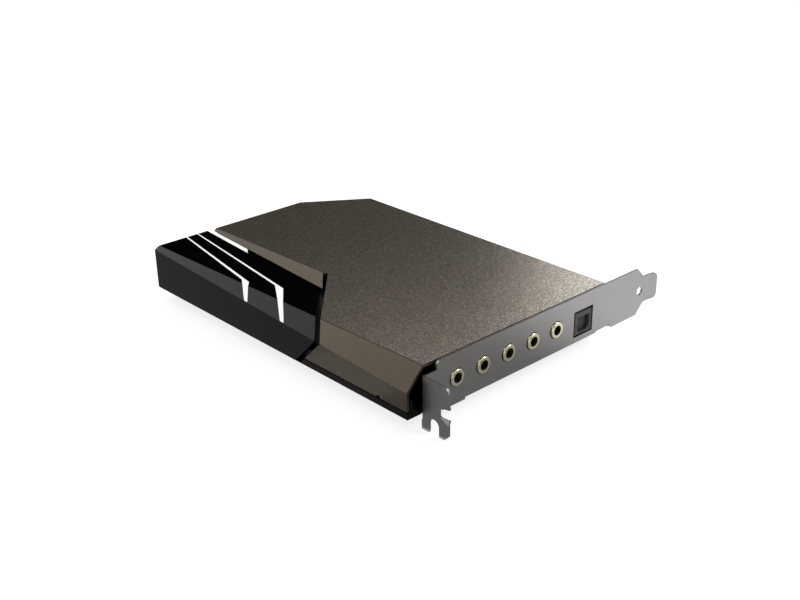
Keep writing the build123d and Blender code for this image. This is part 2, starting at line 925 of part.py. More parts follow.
def make_inner_frame():
    """Moulded frame: skirt round the board, neck and upstand inside the cover, light tray, screw posts."""
    lip_top = board_top + frame_lip_rise
    frame = prism_z(plan_outline(frame_inset, board_front_x), skirt_bottom, lip_top)
    frame -= prism_z(board_outline(board_edge_gap, margin), skirt_bottom - margin, lip_top + margin)
    frame += frame_ring(frame_neck_inset, frame_lip_inner, board_top, cover_bottom)
    frame += frame_ring(frame_ring_outer, frame_ring_inner, board_top, cover_bottom + frame_upstand)
    window_front = slot_wall_x(board_top, 1)
    tray_near = cover_near + window_ring
    tray_back = cover_back_x + window_ring
    depth = (skirt_bottom - margin, tray_level)
    window_place = behind_slot(-1, -frame_fit, groove_top_back, groove_top_back)
    frame -= window_place & block((cover_back_x, 0), (cover_near, tray_near), depth)
    frame -= window_place & block((cover_back_x, tray_back), (cover_near, cover_far), depth)
    slot_place = behind_slot(1, 0, groove_top_back, groove_top_back)
    frame -= slot_place & block((cover_back_x, 0), (cover_near, cover_near + cover_wall), depth)
    for room in foot_rooms(tray_level):
        frame -= room
    frame += prism_z(tray_outline(), tray_bottom, tray_level)
    height = (board_top, tray_level)
    frame += block((tray_back, window_front + frame_wall), (tray_near, tray_near + frame_wall), height)
    frame += block((tray_back, tray_back + frame_wall), (tray_near, groove_top_back + frame_wall), height)
    for x, y in post_places():
        frame += faceted_z(board_top, post_top(x, y), x, y, post_radius)
    for x, y in post_places():
        hole_radius = frame_screw_radius + frame_screw_clearance
        frame -= faceted_z(board_top - margin, board_top + frame_screw_depth + margin, x, y, hole_radius)
    return frame


def make_frame_screws():
    """Screws from below the board into the frame's posts."""
    screws = []
    for x, y in post_places():
        head = faceted_z(-screw_head_height, 0, x, y, screw_head_radius)
        screws.append(head + faceted_z(0, board_top + frame_screw_depth, x, y, frame_screw_radius))
    return group(screws)


# Analogue jacks

def jack_front_x():
    """X of the front face of the jack bodies, behind the bracket."""
    return -sheet - jack_front_gap


def jack_blades():
    """X and side offset of the three flat contacts of a jack."""
    side = jack_bore_radius + jack_cavity_relief + contact_strip / 2 + contact_pocket_clearance
    front = jack_front_x()
    offsets = (side, -side, side)
    return [(front - setback, offset) for setback, offset in zip(contact_setbacks, offsets)]


def make_jack_collar(centre_y):
    """Plated collar that stands through the bracket, with its barrel and key slot."""
    back = jack_front_x() - collar_barrel_depth
    collar = rod_x(jack_front_x(), collar_front, centre_y, jack_axis_height, collar_radius)
    rim = collar.edges().filter_by(GeomType.CIRCLE).sort_by(Axis.X)[-1]
    collar = chamfer(rim, collar_edge_break)
    collar += faceted_x(back, jack_front_x(), centre_y, jack_axis_height, collar_barrel_radius)
    collar -= rod_x(back - margin, collar_front + margin, centre_y, jack_axis_height, jack_bore_radius)
    wall = collar_radius - jack_bore_radius
    key_middle = jack_bore_radius + wall
    key = block(
        (collar_front - collar_key_depth, collar_front + margin),
        (-collar_key_width / 2, collar_key_width / 2),
        (key_middle - wall / 2, key_middle + wall / 2),
    )
    return collar - Pos(0, centre_y, jack_axis_height) * Rot(collar_key_angle, 0, 0) * key


def make_jack_body(centre_y):
    """Moulded jack body with its seat for the collar, its plug room and a pocket for each contact."""
    front = jack_front_x()
    back = front - jack_depth
    half = jack_width / 2
    axis_z = jack_axis_height
    body = block((back, front), (centre_y - half, centre_y + half), (board_top, axis_z + jack_top_over_axis))
    body = chamfer(body.edges().filter_by(Axis.X).group_by(Axis.Z)[-1], jack_edge_break)
    seat = front - collar_barrel_depth
    body -= faceted_x(seat, front + margin, centre_y, axis_z, collar_barrel_radius + jack_seat_clearance)
    room = jack_bore_radius + jack_cavity_relief
    room_x = (back + jack_back_wall, seat + margin)
    body -= block(room_x, (centre_y - room, centre_y + room), (axis_z - room, axis_z + room))
    half_x = contact_blade / 2 + contact_pocket_clearance
    half_y = contact_strip / 2 + contact_pocket_clearance
    pocket_top = axis_z + jack_bore_radius / 2 + contact_pocket_clearance
    for x, side in jack_blades():
        middle = centre_y + side
        x_range = (x - half_x, x + half_x)
        inner_y = (min(middle - half_y, centre_y), max(middle + half_y, centre_y))
        body -= block(x_range, inner_y, (axis_z, pocket_top))
        body -= block(x_range, (middle - half_y, middle + half_y), (board_top - margin, axis_z + margin))
    return body


def make_jack_contacts(centre_y):
    """Flat spring contacts beside the bore, each with its lead through the board."""
    top = jack_axis_height + jack_bore_radius / 2
    blades = []
    for x, side in jack_blades():
        middle = centre_y + side
        x_range = (x - contact_blade / 2, x + contact_blade / 2)
        y_range = (middle - contact_strip / 2, middle + contact_strip / 2)
        blades.append(block(x_range, y_range, (-lead_below_board, top)))
    return group(blades)


# Optical port

def optical_face_x():
    """X of the front face of the optical port."""
    return -optical_face_setback


def optical_sides(width):
    """Y span about the middle of the optical port."""
    return (optical_centre - width / 2, optical_centre + width / 2)


def cavity_span_x():
    """X span of the room behind the port's front wall."""
    front = optical_face_x() - optical_front_wall
    return (front - optical_cavity_depth, front)


def mouth_outline():
    """The port's mouth, with two cut lower corners and a key on each side."""
    low = board_top + mouth_rise
    high = low + mouth_height
    left, right = optical_sides(mouth_width)
    outline = Polygon(
        (left, high),
        (right, high),
        (right, low + mouth_corner),
        (right - mouth_corner, low),
        (left + mouth_corner, low),
        (left, low + mouth_corner),
        align=None,
    )
    keys = Rectangle(mouth_width + 2 * mouth_key_depth, mouth_key_height)
    return outline + Pos(optical_centre, low + mouth_height / 2) * keys


def hinge_x():
    """X of the flap's hinge axis."""
    return cavity_span_x()[1] - flap_gap - hinge_barrel_radius


def hinge_z():
    """Z of the flap's hinge axis."""
    ceiling = board_top + optical_floor + optical_cavity_height
    return ceiling - hinge_barrel_radius - flap_side_gap / 2


def pin_span():
    """Y span of the flap's hinge pin."""
    return optical_sides(optical_cavity_width + 2 * hinge_pin_seat)


def make_optical_body():
    """Port body with its shaped mouth, flap room, pin seats and emitter pocket."""
    face = optical_face_x()
    back = face - optical_depth
    body = block((back, face), optical_sides(optical_width), (board_top, board_top + optical_height))
    room_low = board_top + optical_floor
    cavity = cavity_span_x()
    body -= block(cavity, optical_sides(optical_cavity_width), (room_low, room_low + optical_cavity_height))
    body -= upright_x(mouth_outline(), cavity[1] - margin, face + margin)
    body -= rod_y(*pin_span(), hinge_x(), hinge_z(), hinge_pin_radius + hinge_pin_fit)
    pocket_front = emitter_span_x()[1] + emitter_clearance
    body -= block(
        (back - margin, pocket_front),
        optical_sides(emitter_width + 2 * emitter_clearance),
        (board_top - margin, emitter_top() + emitter_clearance),
    )
    lens_hole = emitter_lens_radius + emitter_clearance
    body -= faceted_x(pocket_front - margin, cavity[0] + margin, optical_centre, mouth_axis_z(), lens_hole)
    return body


def mouth_axis_z():
    """Height of the middle of the port's mouth."""
    return board_top + mouth_rise + mouth_height / 2


def make_optical_shutter():
    """Flap that closes the mouth from behind, with its hinge barrel."""
    front = cavity_span_x()[1] - flap_gap
    low = board_top + optical_floor + flap_side_gap
    left, right = optical_sides(optical_cavity_width - 2 * flap_side_gap)
    outline = Polygon(
        (left, hinge_z()),
        (right, hinge_z()),
        (right, low + mouth_corner),
        (right - mouth_corner, low),
        (left + mouth_corner, low),
        (left, low + mouth_corner),
        align=None,
    )
    flap = upright_x(outline, front - flap_thickness, front)
    flap += rod_y(left, right, hinge_x(), hinge_z(), hinge_barrel_radius)
    hole_radius = hinge_pin_radius + hinge_clearance
    return flap - rod_y(left - margin, right + margin, hinge_x(), hinge_z(), hole_radius)


def make_optical_hinge_pin():
    """Pin that the flap turns on."""
    return rod_y(*pin_span(), hinge_x(), hinge_z(), hinge_pin_radius)


def emitter_span_x():
    """X span of the emitter's block."""
    front = cavity_span_x()[0] - emitter_clearance
    return (front - emitter_depth, front)


def emitter_top():
    """Top of the emitter's block."""
    return board_top + mouth_rise + emitter_height


def emitter_lead_x():
    """X of the emitter's leads."""
    return sum(emitter_span_x()) / 2


def emitter_lead_places():
    """Y of the emitter's leads."""
    return [optical_centre + emitter_lead_pitch * step for step in (-1, 0, 1)]


def make_optical_emitter():
    """Light emitter with its lens and three leads."""
    span = emitter_span_x()
    low = board_top + mouth_rise
    emitter = block(span, optical_sides(emitter_width), (low, emitter_top()))
    lens_front = cavity_span_x()[0] + emitter_lens_reach
    emitter += faceted_x(span[1], lens_front, optical_centre, mouth_axis_z(), emitter_lens_radius)
    half = emitter_lead / 2
    for y in emitter_lead_places():
        x_range = (emitter_lead_x() - half, emitter_lead_x() + half)
        emitter += block(x_range, (y - half, y + half), (-lead_below_board, low))
    return emitter


# Parts soldered on the board

def chip(place, length, width, base, height):
    """Moulded package with broken top edges."""
    x, y = place
    body = block((x - length / 2, x + length / 2), (y - width / 2, y + width / 2), (base, base + height))
    return chamfer(body.edges().group_by(Axis.Z)[-1], chip_edge_break)


def leaded_chip(place, length, width, height, leads):
    """Package raised over a thin lead frame on its two long sides."""
    x, y = place
    rise = chip_edge_break
    half_x = length / 2 - rise
    half_y = width / 2 + leads
    frame = block((x - half_x, x + half_x), (y - half_y, y + half_y), (board_top, board_top + rise))
    return frame + chip(place, length, width, board_top + rise, height - rise)


def part_rows():
    """Depth along X of each row of parts, from the jacks to the back."""
    return {
        "relays": relay_length,
        "op_amps": op_amp_length,
        "converters": converter_size,
        "films": film_length,
        "processor": processor_size + 2 * processor_leads,
        "crystals": crystal_length,
        "inductors": inductor_size,
        "regulators": regulator_length,
    }


def row_x(name):
    """X of the middle of one row of parts."""
    edge = jack_front_x() - jack_depth - parts_gap
    for row_name, depth in part_rows().items():
        if row_name == name:
            break
        edge -= depth + parts_gap
    return edge - depth / 2


def row_places(name, start, width, count):
    """Places of the parts in one row, side by side from a Y."""
    return [(row_x(name), y) for y in row(start + width / 2, width + parts_gap, count)]


def back_rows_start():
    """Y where the tall and the rear rows start, clear of the light tray."""
    return tray_far() + parts_gap


def make_audio_processor():
    """Signal processor with leads on four sides."""
    across = processor_size + 2 * processor_leads
    place = row_places("processor", back_rows_start(), across, 1)[0]
    package = leaded_chip(place, processor_size, processor_size, processor_height, processor_leads)
    x, y = place
    rise = chip_edge_break
    half_x = across / 2
    half_y = processor_size / 2 - rise
    return package + block((x - half_x, x + half_x), (y - half_y, y + half_y), (board_top, board_top + rise))


def make_headphone_amplifiers():
    """Output amplifiers for the headphones."""
    size = amplifier_size
    places = row_places("converters", front_rows_start, size, amplifier_count)
    return group([chip(place, size, size, board_top, amplifier_height) for place in places])


def make_audio_converter():
    """Digital to analogue converter, beside the amplifiers."""
    start = front_rows_start + (amplifier_size + parts_gap) * amplifier_count
    place = row_places("converters", start, converter_size, 1)[0]
    return chip(place, converter_size, converter_size, board_top, converter_height)


def make_op_amps():
    """Small leaded amplifiers behind the jacks."""
    places = row_places("op_amps", front_rows_start, op_amp_width + 2 * op_amp_leads, op_amp_count)
    size = (op_amp_length, op_amp_width, op_amp_height)
    return group([leaded_chip(place, *size, op_amp_leads) for place in places])


def make_electrolytic_capacitors():
    """Cans on square bases, in two lines along the far wall, between the first post and the second."""
    pitch = electrolytic_base + electrolytic_gap
    half = electrolytic_base / 2
    first_x = -far_post_setbacks[0] - post_radius - parts_gap - half
    last_y = cover_far - frame_ring_inner - parts_gap - half
    base_top = board_top + electrolytic_base_height
    can_radius = electrolytic_radius * math.cos(math.pi / hidden_facets)
    cans = []
    for x in row(first_x, -pitch, electrolytic_columns):
        for y in row(last_y, -pitch, electrolytic_rows):
            base = block((x - half, x + half), (y - half, y + half), (board_top, base_top))
            cans.append(base + faceted_z(base_top, board_top + electrolytic_height, x, y, can_radius))
    return group(cans)


def make_film_capacitors():
    """Boxed film capacitors."""
    places = row_places("films", back_rows_start(), film_width, film_count)
    return group([chip(place, film_length, film_width, board_top, film_height) for place in places])


def make_output_relays():
    """Relays that switch the outputs."""
    places = row_places("relays", front_rows_start, relay_width, relay_count)
    return group([chip(place, relay_length, relay_width, board_top, relay_height) for place in places])


def make_clock_crystals():
    """Clock crystals in flat cans with cut corners."""
    half_x = crystal_length / 2
    half_y = crystal_width / 2
    cut = crystal_end
    cans = []
    for x, y in row_places("crystals", back_rows_start(), crystal_width, crystal_count):
        height = (board_top, board_top + crystal_height)
        can = block((x - half_x, x + half_x), (y - half_y, y + half_y), height)
        cans.append(chamfer(can.edges().filter_by(Axis.Z), cut))
    return group(cans)


def make_voltage_regulators():
    """Supply regulators with their heat tabs."""
    across = regulator_width + 2 * regulator_leads
    places = row_places("regulators", back_rows_start(), across, regulator_count)
    size = (regulator_length, regulator_width, regulator_height)
    return group([leaded_chip(place, *size, regulator_leads) for place in places])


def make_supply_inductors():
    """Shielded inductors."""
    size = inductor_size
    places = row_places("inductors", back_rows_start(), size, inductor_count)
    return group([chip(place, size, size, board_top, inductor_height) for place in places])


def all_nodes():
    """Every node by name."""
    nodes = {
        "bracket": make_bracket(),
        "bracket_screws": make_bracket_screws(),
        "circuit_board": make_circuit_board(),
        "edge_contacts": make_edge_contacts(),
        "top_cover": make_top_cover(),
        "inner_frame": make_inner_frame(),
        "frame_screws": make_frame_screws(),
        "light_window": make_light_window(),
        "light_guide": make_light_guide(),
        "groove_light_bar": make_groove_light_bar(),
        "light_board": make_light_board(),
        "light_leds": make_light_leds(),
        "optical_body": make_optical_body(),
        "optical_shutter": make_optical_shutter(),
        "optical_hinge_pin": make_optical_hinge_pin(),
        "optical_emitter": make_optical_emitter(),
        "audio_processor": make_audio_processor(),
        "audio_converter": make_audio_converter(),
        "headphone_amplifiers": make_headphone_amplifiers(),
        "op_amps": make_op_amps(),
        "electrolytic_capacitors": make_electrolytic_capacitors(),
        "film_capacitors": make_film_capacitors(),
        "output_relays": make_output_relays(),
        "clock_crystals": make_clock_crystals(),
        "voltage_regulators": make_voltage_regulators(),
        "supply_inductors": make_supply_inductors(),
    }
    for index, centre_y in enumerate(jack_centres(), start=1):
        nodes[f"jack_{index}_body"] = make_jack_body(centre_y)
        nodes[f"jack_{index}_collar"] = make_jack_collar(centre_y)
        nodes[f"jack_{index}_contacts"] = make_jack_contacts(centre_y)
    return nodes


def part_frame():
    """Move from the card datum to the part's frame, with its origin under the middle of the card."""
    tip_reach = tongue_kink_length * math.cos(math.radians(tongue_kink_angle))
    middle_x = (cover_back_x + flange_reach) / 2
    middle_y = (cover_near + bracket_length - tongue_kink_length + tip_reach) / 2
    return Pos(-middle_x, -middle_y, -flange_bottom)


os.makedirs("parts", exist_ok=True)
placing = part_frame()
for name, shape in all_nodes().items():
    export_step(placing * shape, f"parts/{name}.step")
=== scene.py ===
"""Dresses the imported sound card: finishes, fine trim, camera and a plain soft studio."""
import logging
import math
from dataclasses import dataclass
from enum import Enum
from typing import Iterable, Iterator, Sequence

import bmesh
import bpy
from mathutils import Matrix, Vector


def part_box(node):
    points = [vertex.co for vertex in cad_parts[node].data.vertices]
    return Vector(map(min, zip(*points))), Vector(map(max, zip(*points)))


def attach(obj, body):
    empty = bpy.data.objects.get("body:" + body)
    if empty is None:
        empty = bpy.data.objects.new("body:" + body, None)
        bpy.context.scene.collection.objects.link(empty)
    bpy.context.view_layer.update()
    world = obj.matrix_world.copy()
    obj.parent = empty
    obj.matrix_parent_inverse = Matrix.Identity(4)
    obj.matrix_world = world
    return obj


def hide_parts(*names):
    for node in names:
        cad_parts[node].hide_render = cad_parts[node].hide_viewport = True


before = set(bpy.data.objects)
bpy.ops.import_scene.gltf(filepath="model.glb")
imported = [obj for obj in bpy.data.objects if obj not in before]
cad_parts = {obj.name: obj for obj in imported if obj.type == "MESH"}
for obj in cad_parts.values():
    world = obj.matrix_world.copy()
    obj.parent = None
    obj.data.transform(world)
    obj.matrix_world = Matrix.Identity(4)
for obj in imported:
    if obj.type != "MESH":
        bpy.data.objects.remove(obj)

LOG = logging.getLogger("sound_card")
MILLIMETRE = 0.001
WHITE = "ffffff"
Pair = tuple[float, float]
Triple = tuple[float, float, float]

# Sockets of Blender's mix node, which only their numbers tell apart.
FACTOR = 0
FLOAT_A, FLOAT_B, FLOAT_RESULT = 2, 3, 0
COLOUR_A, COLOUR_B, COLOUR_RESULT = 6, 7, 2

# Upward part of the normal at which a face starts to count as level, and at which it wholly does.
LEVEL_FACES: Pair = (0.93, 0.99)
# The same for the up-facing sheared edges of a sheet, whose darker colour is partly duller cut metal and
# partly painted shade.
SHEARED_AND_SHADED_EDGES: Pair = (0.75, 0.95)
# Length of a rolling line, as a multiple of its width.
ROLLING_STRETCH = 30
# Width of a copper track's edge, as a share of the pattern's size.
TRACK_EDGE = 0.12
# Share of the flakes' contrast that slanting faces keep.
SLANT_CONTRAST = 0.3
# Even value that takes the place of the rest of it.
EVEN_FLAKE = 0.6
# Random value at which a flake starts to be bare metal, and at which it wholly is.
BARE_FLAKES: Pair = (0.6, 0.8)
# Share of a pattern's relief that shows.
RELIEF_SHARE = 0.4


class Grain(Enum):
    """How a surface was made, which decides its pattern."""

    FLAKE = "sprayed metallic flake"
    ROLLED = "rolled and plated sheet"
    TURNED = "turned and plated"
    MOULDED = "moulded with a fine grain"
    POLISHED = "moulded in a polished tool"
    LAMINATE = "coated circuit laminate"
    LIT = "milky and lit from behind"


def linear(hex_colour: str) -> tuple[float, float, float, float]:
    """Turn an sRGB hex value into a linear colour.

    Args:
        hex_colour: Six hex digits, with or without a hash sign.

    Returns:
        Red, green, blue and alpha.
    """
    digits = hex_colour.lstrip("#")
    channels = []
    for start in (0, 2, 4):
        value = int(digits[start:start + 2], 16) / 255
        channels.append(value / 12.92 if value <= 0.04045 else ((value + 0.055) / 1.055) ** 2.4)
    return (*channels, 1.0)


def bare_tree(owner: bpy.types.Material | bpy.types.World) -> bpy.types.NodeTree:
    """Give a material or a world an empty node tree.

    Args:
        owner: The material or world.

    Returns:
        Its tree.
    """
    owner.use_nodes = True
    owner.node_tree.nodes.clear()
    return owner.node_tree


def add_node(
    tree: bpy.types.NodeTree, kind: str, settings: dict | None = None, links: dict | None = None
) -> bpy.types.Node:
    """Add one node to a tree.

    Args:
        tree: The tree that gets the node.
        kind: Blender's name for the node.
        settings: Values by input name or number, or by property name.
        links: Source sockets by input name or number.

    Returns:
        The new node.
    """
    node = tree.nodes.new(kind)
    for key, value in (settings or {}).items():
        if isinstance(key, str) and hasattr(node, key):
            setattr(node, key, value)
        else:
            node.inputs[key].default_value = value
    for key, source in (links or {}).items():
        tree.links.new(source, node.inputs[key])
    return node


@dataclass(frozen=True)
class Finish:
    """One real material and the way its surface was made.

    Attributes:
        name: Material name, the real material and its process.
        grain: How the surface was made.
        colour: Main colour as sRGB hex.
        second: Colour of the pattern's other extreme as sRGB hex.
        metallic: Share of metal.
        roughness: Middle of the roughness range.
        grain_mm: Size of the pattern in millimetres.
        relief_mm: Height of the pattern in millimetres.
        specular: Strength of the plain reflection.
        glow: Strength of the light that it gives.
        spread: Share by which the roughness varies about its middle.
        edge: Colour of sheared edges that face up as sRGB hex, where they differ; partly duller cut metal,
            partly painted shade.
        sparkle: Colour of bare metal flakes on level faces as sRGB hex, where they show.
    """

    name: str
    grain: Grain
    colour: str
    second: str
    metallic: float = 0.0
    roughness: float = 0.5
    grain_mm: float = 0.4
    relief_mm: float = 0.01
    specular: float = 0.5
    glow: float = 0.0
    spread: float = 0.15
    edge: str = ""
    sparkle: str = ""

    def stretch(self) -> Triple:
        """Work out the pattern's scale.

        Returns:
            Grains per metre along X, Y and Z.
        """
        scale = 1 / (self.grain_mm * MILLIMETRE)
        if self.grain is Grain.ROLLED:
            return (scale, scale / ROLLING_STRETCH, scale)
        return (scale, scale, scale)

    def place(self, tree: bpy.types.NodeTree) -> bpy.types.NodeSocket:
        """Find the place on the surface, counted in grains.

        Args:
            tree: The material's tree.

        Returns:
            A vector socket.
        """
        place = add_node(tree, "ShaderNodeTexCoord")
        scaled = add_node(
            tree, "ShaderNodeMapping", {"Scale": self.stretch()}, {"Vector": place.outputs["Object"]}
        )
        return scaled.outputs["Vector"]

    def facing_up(
        self, tree: bpy.types.NodeTree, limits: Pair, least: float = 0.0
    ) -> bpy.types.NodeSocket:
        """Pick out the faces that look up.

        Args:
            tree: The material's tree.
            limits: Upward part of the normal at which the choice starts, and at which it is whole.
            least: What the other faces get.

        Returns:
            A socket that runs from the least value to 1.
        """
        place = add_node(tree, "ShaderNodeTexCoord")
        axes = add_node(tree, "ShaderNodeSeparateXYZ", None, {"Vector": place.outputs["Normal"]})
        return add_node(
            tree, "ShaderNodeMapRange", {"From Min": limits[0], "From Max": limits[1], "To Min": least},
            {"Value": axes.outputs["Z"]},
        ).outputs["Result"]

    def flakes(self, tree: bpy.types.NodeTree) -> bpy.types.Node:
        """Scatter the paint's flakes.

        Args:
            tree: The material's tree.

        Returns:
            A node whose outputs are random values, each even over one flake.
        """
        cells = add_node(tree, "ShaderNodeTexVoronoi", {"Scale": 1.0}, {"Vector": self.place(tree)})
        return add_node(tree, "ShaderNodeSeparateColor", None, {"Color": cells.outputs["Color"]})

    def pattern(self, tree: bpy.types.NodeTree) -> bpy.types.NodeSocket:
        """Build the pattern that varies colour, gloss and relief.

        Args:
            tree: The material's tree.

        Returns:
            A socket that runs from 0 to 1 over the surface.
        """
        if self.grain is Grain.FLAKE:
            return add_node(
                tree, "ShaderNodeMix", {"data_type": "FLOAT", FLOAT_A: EVEN_FLAKE},
                {
                    FACTOR: self.facing_up(tree, LEVEL_FACES, SLANT_CONTRAST),
                    FLOAT_B: self.flakes(tree).outputs["Red"],
                },
            ).outputs[FLOAT_RESULT]
        source = {"Vector": self.place(tree)}
        if self.grain is Grain.LAMINATE:
            tracks = add_node(
                tree, "ShaderNodeTexVoronoi",
                {"feature": "DISTANCE_TO_EDGE", "Scale": 1.0, "Randomness": 0.6}, source,
            )
            return add_node(
                tree, "ShaderNodeMapRange", {"From Max": TRACK_EDGE, "To Min": 1.0, "To Max": 0.0},
                {"Value": tracks.outputs["Distance"]},
            ).outputs["Result"]
        noise = add_node(
            tree, "ShaderNodeTexNoise", {"Scale": 1.0, "Detail": 3.0, "Roughness": 0.6}, source
        )
        return noise.outputs["Fac"]

    def heights(
        self, tree: bpy.types.NodeTree, pattern: bpy.types.NodeSocket
    ) -> bpy.types.NodeSocket:
        """Choose the surface's heights: its pattern, or the rolling lie of flakes on level faces.

        Args:
            tree: The material's tree.
            pattern: The surface's pattern.

        Returns:
            A socket with the heights.
        """
        if self.grain is not Grain.FLAKE:
            return pattern
        lie = add_node(
            tree, "ShaderNodeTexNoise", {"Scale": 1.0, "Detail": 1.0}, {"Vector": self.place(tree)}
        )
        return add_node(
            tree, "ShaderNodeMath", {"operation": "MULTIPLY"},
            {0: lie.outputs["Fac"], 1: self.facing_up(tree, LEVEL_FACES)},
        ).outputs[0]

    def bare_flakes(self, tree: bpy.types.NodeTree) -> bpy.types.NodeSocket:
        """Pick out the bare flakes on level faces.

        Args:
            tree: The material's tree.

        Returns:
            A socket that is 1 on a bare flake and 0 elsewhere.
        """
        bare = add_node(
            tree, "ShaderNodeMapRange", {"From Min": BARE_FLAKES[0], "From Max": BARE_FLAKES[1]},
            {"Value": self.flakes(tree).outputs["Green"]},
        )
        return add_node(
            tree, "ShaderNodeMath", {"operation": "MULTIPLY"},
            {0: bare.outputs["Result"], 1: self.facing_up(tree, LEVEL_FACES)},
        ).outputs[0]

    def colours(
        self, tree: bpy.types.NodeTree, pattern: bpy.types.NodeSocket
    ) -> bpy.types.NodeSocket:
        """Spread the two colours over the pattern, and the darker colour over the up-facing sheared edges,
        which is partly duller cut metal and partly painted shade.

        Args:
            tree: The material's tree.
            pattern: The surface's pattern.

        Returns:
            A colour socket.
        """
        mixed = add_node(
            tree, "ShaderNodeMix",
            {"data_type": "RGBA", COLOUR_A: linear(self.colour), COLOUR_B: linear(self.second)},
            {FACTOR: pattern},
        )
        # Up-facing faces get the darker colour: partly duller cut metal, partly painted shade.
        if self.edge:
            mixed = add_node(
                tree, "ShaderNodeMix", {"data_type": "RGBA", COLOUR_B: linear(self.edge)},
                {FACTOR: self.facing_up(tree, SHEARED_AND_SHADED_EDGES), COLOUR_A: mixed.outputs[COLOUR_RESULT]},
            )
        return mixed.outputs[COLOUR_RESULT]

    def build(self) -> bpy.types.Material:
        """Build the material.

        Returns:
            The finished material.
        """
        material = bpy.data.materials.new(self.name)
        tree = bare_tree(material)
        pattern = self.pattern(tree)
        colour = self.colours(tree, pattern)
        gloss = add_node(
            tree, "ShaderNodeMapRange",
            {
                "To Min": self.roughness * (1 - self.spread),
                "To Max": self.roughness * (1 + self.spread),
            },
            {"Value": pattern},
        )
        relief = add_node(
            tree, "ShaderNodeBump",
            {"Strength": RELIEF_SHARE, "Distance": self.relief_mm * MILLIMETRE},
            {"Height": self.heights(tree, pattern)},
        )
        links = {
            "Base Color": colour, "Roughness": gloss.outputs["Result"], "Normal": relief.outputs["Normal"]
        }
        if self.sparkle:
            bare = self.bare_flakes(tree)
            flaked = add_node(
                tree, "ShaderNodeMix", {"data_type": "RGBA", COLOUR_B: linear(self.sparkle)},
                {FACTOR: bare, COLOUR_A: colour},
            )
            metal = add_node(tree, "ShaderNodeMapRange", {"To Min": self.metallic}, {"Value": bare})
            links["Base Color"] = flaked.outputs[COLOUR_RESULT]
            links["Metallic"] = metal.outputs["Result"]
        surface = add_node(
            tree, "ShaderNodeBsdfPrincipled",
            {
                "Metallic": self.metallic, "Specular IOR Level": self.specular,
                "Emission Color": linear(WHITE), "Emission Strength": self.glow,
            },
            links,
        )
        add_node(tree, "ShaderNodeOutputMaterial", None, {"Surface": surface.outputs["BSDF"]})
        return material


# Flake paint: brown-grey with a sandy sparkle. Real flakes are near 0.05 mm and lie flatter, and both are
# drawn coarser so that they show.
COVER_PAINT = Finish(
    "flake_paint_sprayed", Grain.FLAKE, "453d33", "62584a",
    metallic=0.5, roughness=0.29, grain_mm=0.38, relief_mm=0.09, spread=0.06, sparkle="857e73",
)
# Polished ABS: deep black that mirrors the room sharply.
WINDOW_ABS = Finish(
    "abs_black_polished", Grain.POLISHED, "040404", "060606",
    roughness=0.08, grain_mm=6.0, relief_mm=0.001, specular=0.22,
)
# Milky polycarbonate: even white, lit from behind.
GUIDE_POLYCARBONATE = Finish(
    "polycarbonate_milky_lit", Grain.LIT, "747474", "6c6c6c",
    roughness=0.35, grain_mm=2.0, relief_mm=0.002, specular=0.3, glow=0.85,
)
# Nickel-plated sheet steel: satin grey with faint rolling lines along the sheet. Its up-facing sheared
# edges are darker, partly as duller cut metal and partly as painted shade.
BRACKET_STEEL = Finish(
    "steel_sheet_nickel_plated", Grain.ROLLED, "989694", "8e8c8a",
    metallic=1.0, roughness=0.4, grain_mm=0.25, relief_mm=0.002, edge="3a3938",
)
# Gold over turned brass: a pale warm ring, its shine a little uneven.
COLLAR_GOLD = Finish(
    "brass_turned_gold_plated", Grain.TURNED, "e8e3c4", "d6d0a8",
    metallic=1.0, roughness=0.18, grain_mm=0.3, relief_mm=0.002,
)
# Hard gold over copper: deeper yellow than the collars, and duller.
CONTACT_GOLD = Finish(
    "copper_gold_plated", Grain.TURNED, "d9b45c", "c79f48",
    metallic=1.0, roughness=0.28, grain_mm=0.5, relief_mm=0.003,
)
# Rolled bronze: warm brown metal with fine rolling lines.
SPRING_BRONZE = Finish(
    "bronze_strip_rolled", Grain.ROLLED, "a9805a", "8f6a48",
    metallic=1.0, roughness=0.35, grain_mm=0.3, relief_mm=0.003,
)
# Black-oxide steel: dark metal with a dull shine.
SCREW_STEEL = Finish(
    "steel_screw_black_oxide", Grain.TURNED, "4a4a4c", "333335",
    metallic=1.0, roughness=0.35, grain_mm=0.4, relief_mm=0.004,
)
# Moulded ABS: soft black with a fine sparked grain.
FRAME_ABS = Finish(
    "abs_black_moulded", Grain.MOULDED, "070707", "0b0b0b",
    roughness=0.6, grain_mm=0.35, relief_mm=0.012, specular=0.15,
)
# Grey nylon: satin and even, a step lighter than the flap in front of it.
PORT_NYLON = Finish(
    "nylon_grey_moulded", Grain.MOULDED, "5a5a5a", "525253",
    roughness=0.5, grain_mm=0.4, relief_mm=0.008, specular=0.3,
)
# Dark grey nylon: the flap, which reads as a shadowed door.
FLAP_NYLON = Finish(
    "nylon_dark_grey_moulded", Grain.MOULDED, "333334", "2d2d2e",
    roughness=0.45, grain_mm=0.4, relief_mm=0.006, specular=0.3,
)
# Black nylon: the depth inside each jack.
JACK_NYLON = Finish(
    "nylon_black_moulded", Grain.MOULDED, "0c0c0c", "121212",
    roughness=0.6, grain_mm=0.4, relief_mm=0.01,
)
# Solder mask on glass-fibre laminate: near black, with the copper tracks just showing under it.
BOARD_LAMINATE = Finish(
    "laminate_solder_mask", Grain.LAMINATE, "090a0a", "131415",
    roughness=0.45, grain_mm=3.5, relief_mm=0.02, specular=0.3,
)
# Moulded epoxy: matt charcoal chip bodies.
CHIP_EPOXY = Finish(
    "epoxy_moulded", Grain.MOULDED, "141415", "1d1d1e",
    roughness=0.6, grain_mm=0.3, relief_mm=0.01,
)
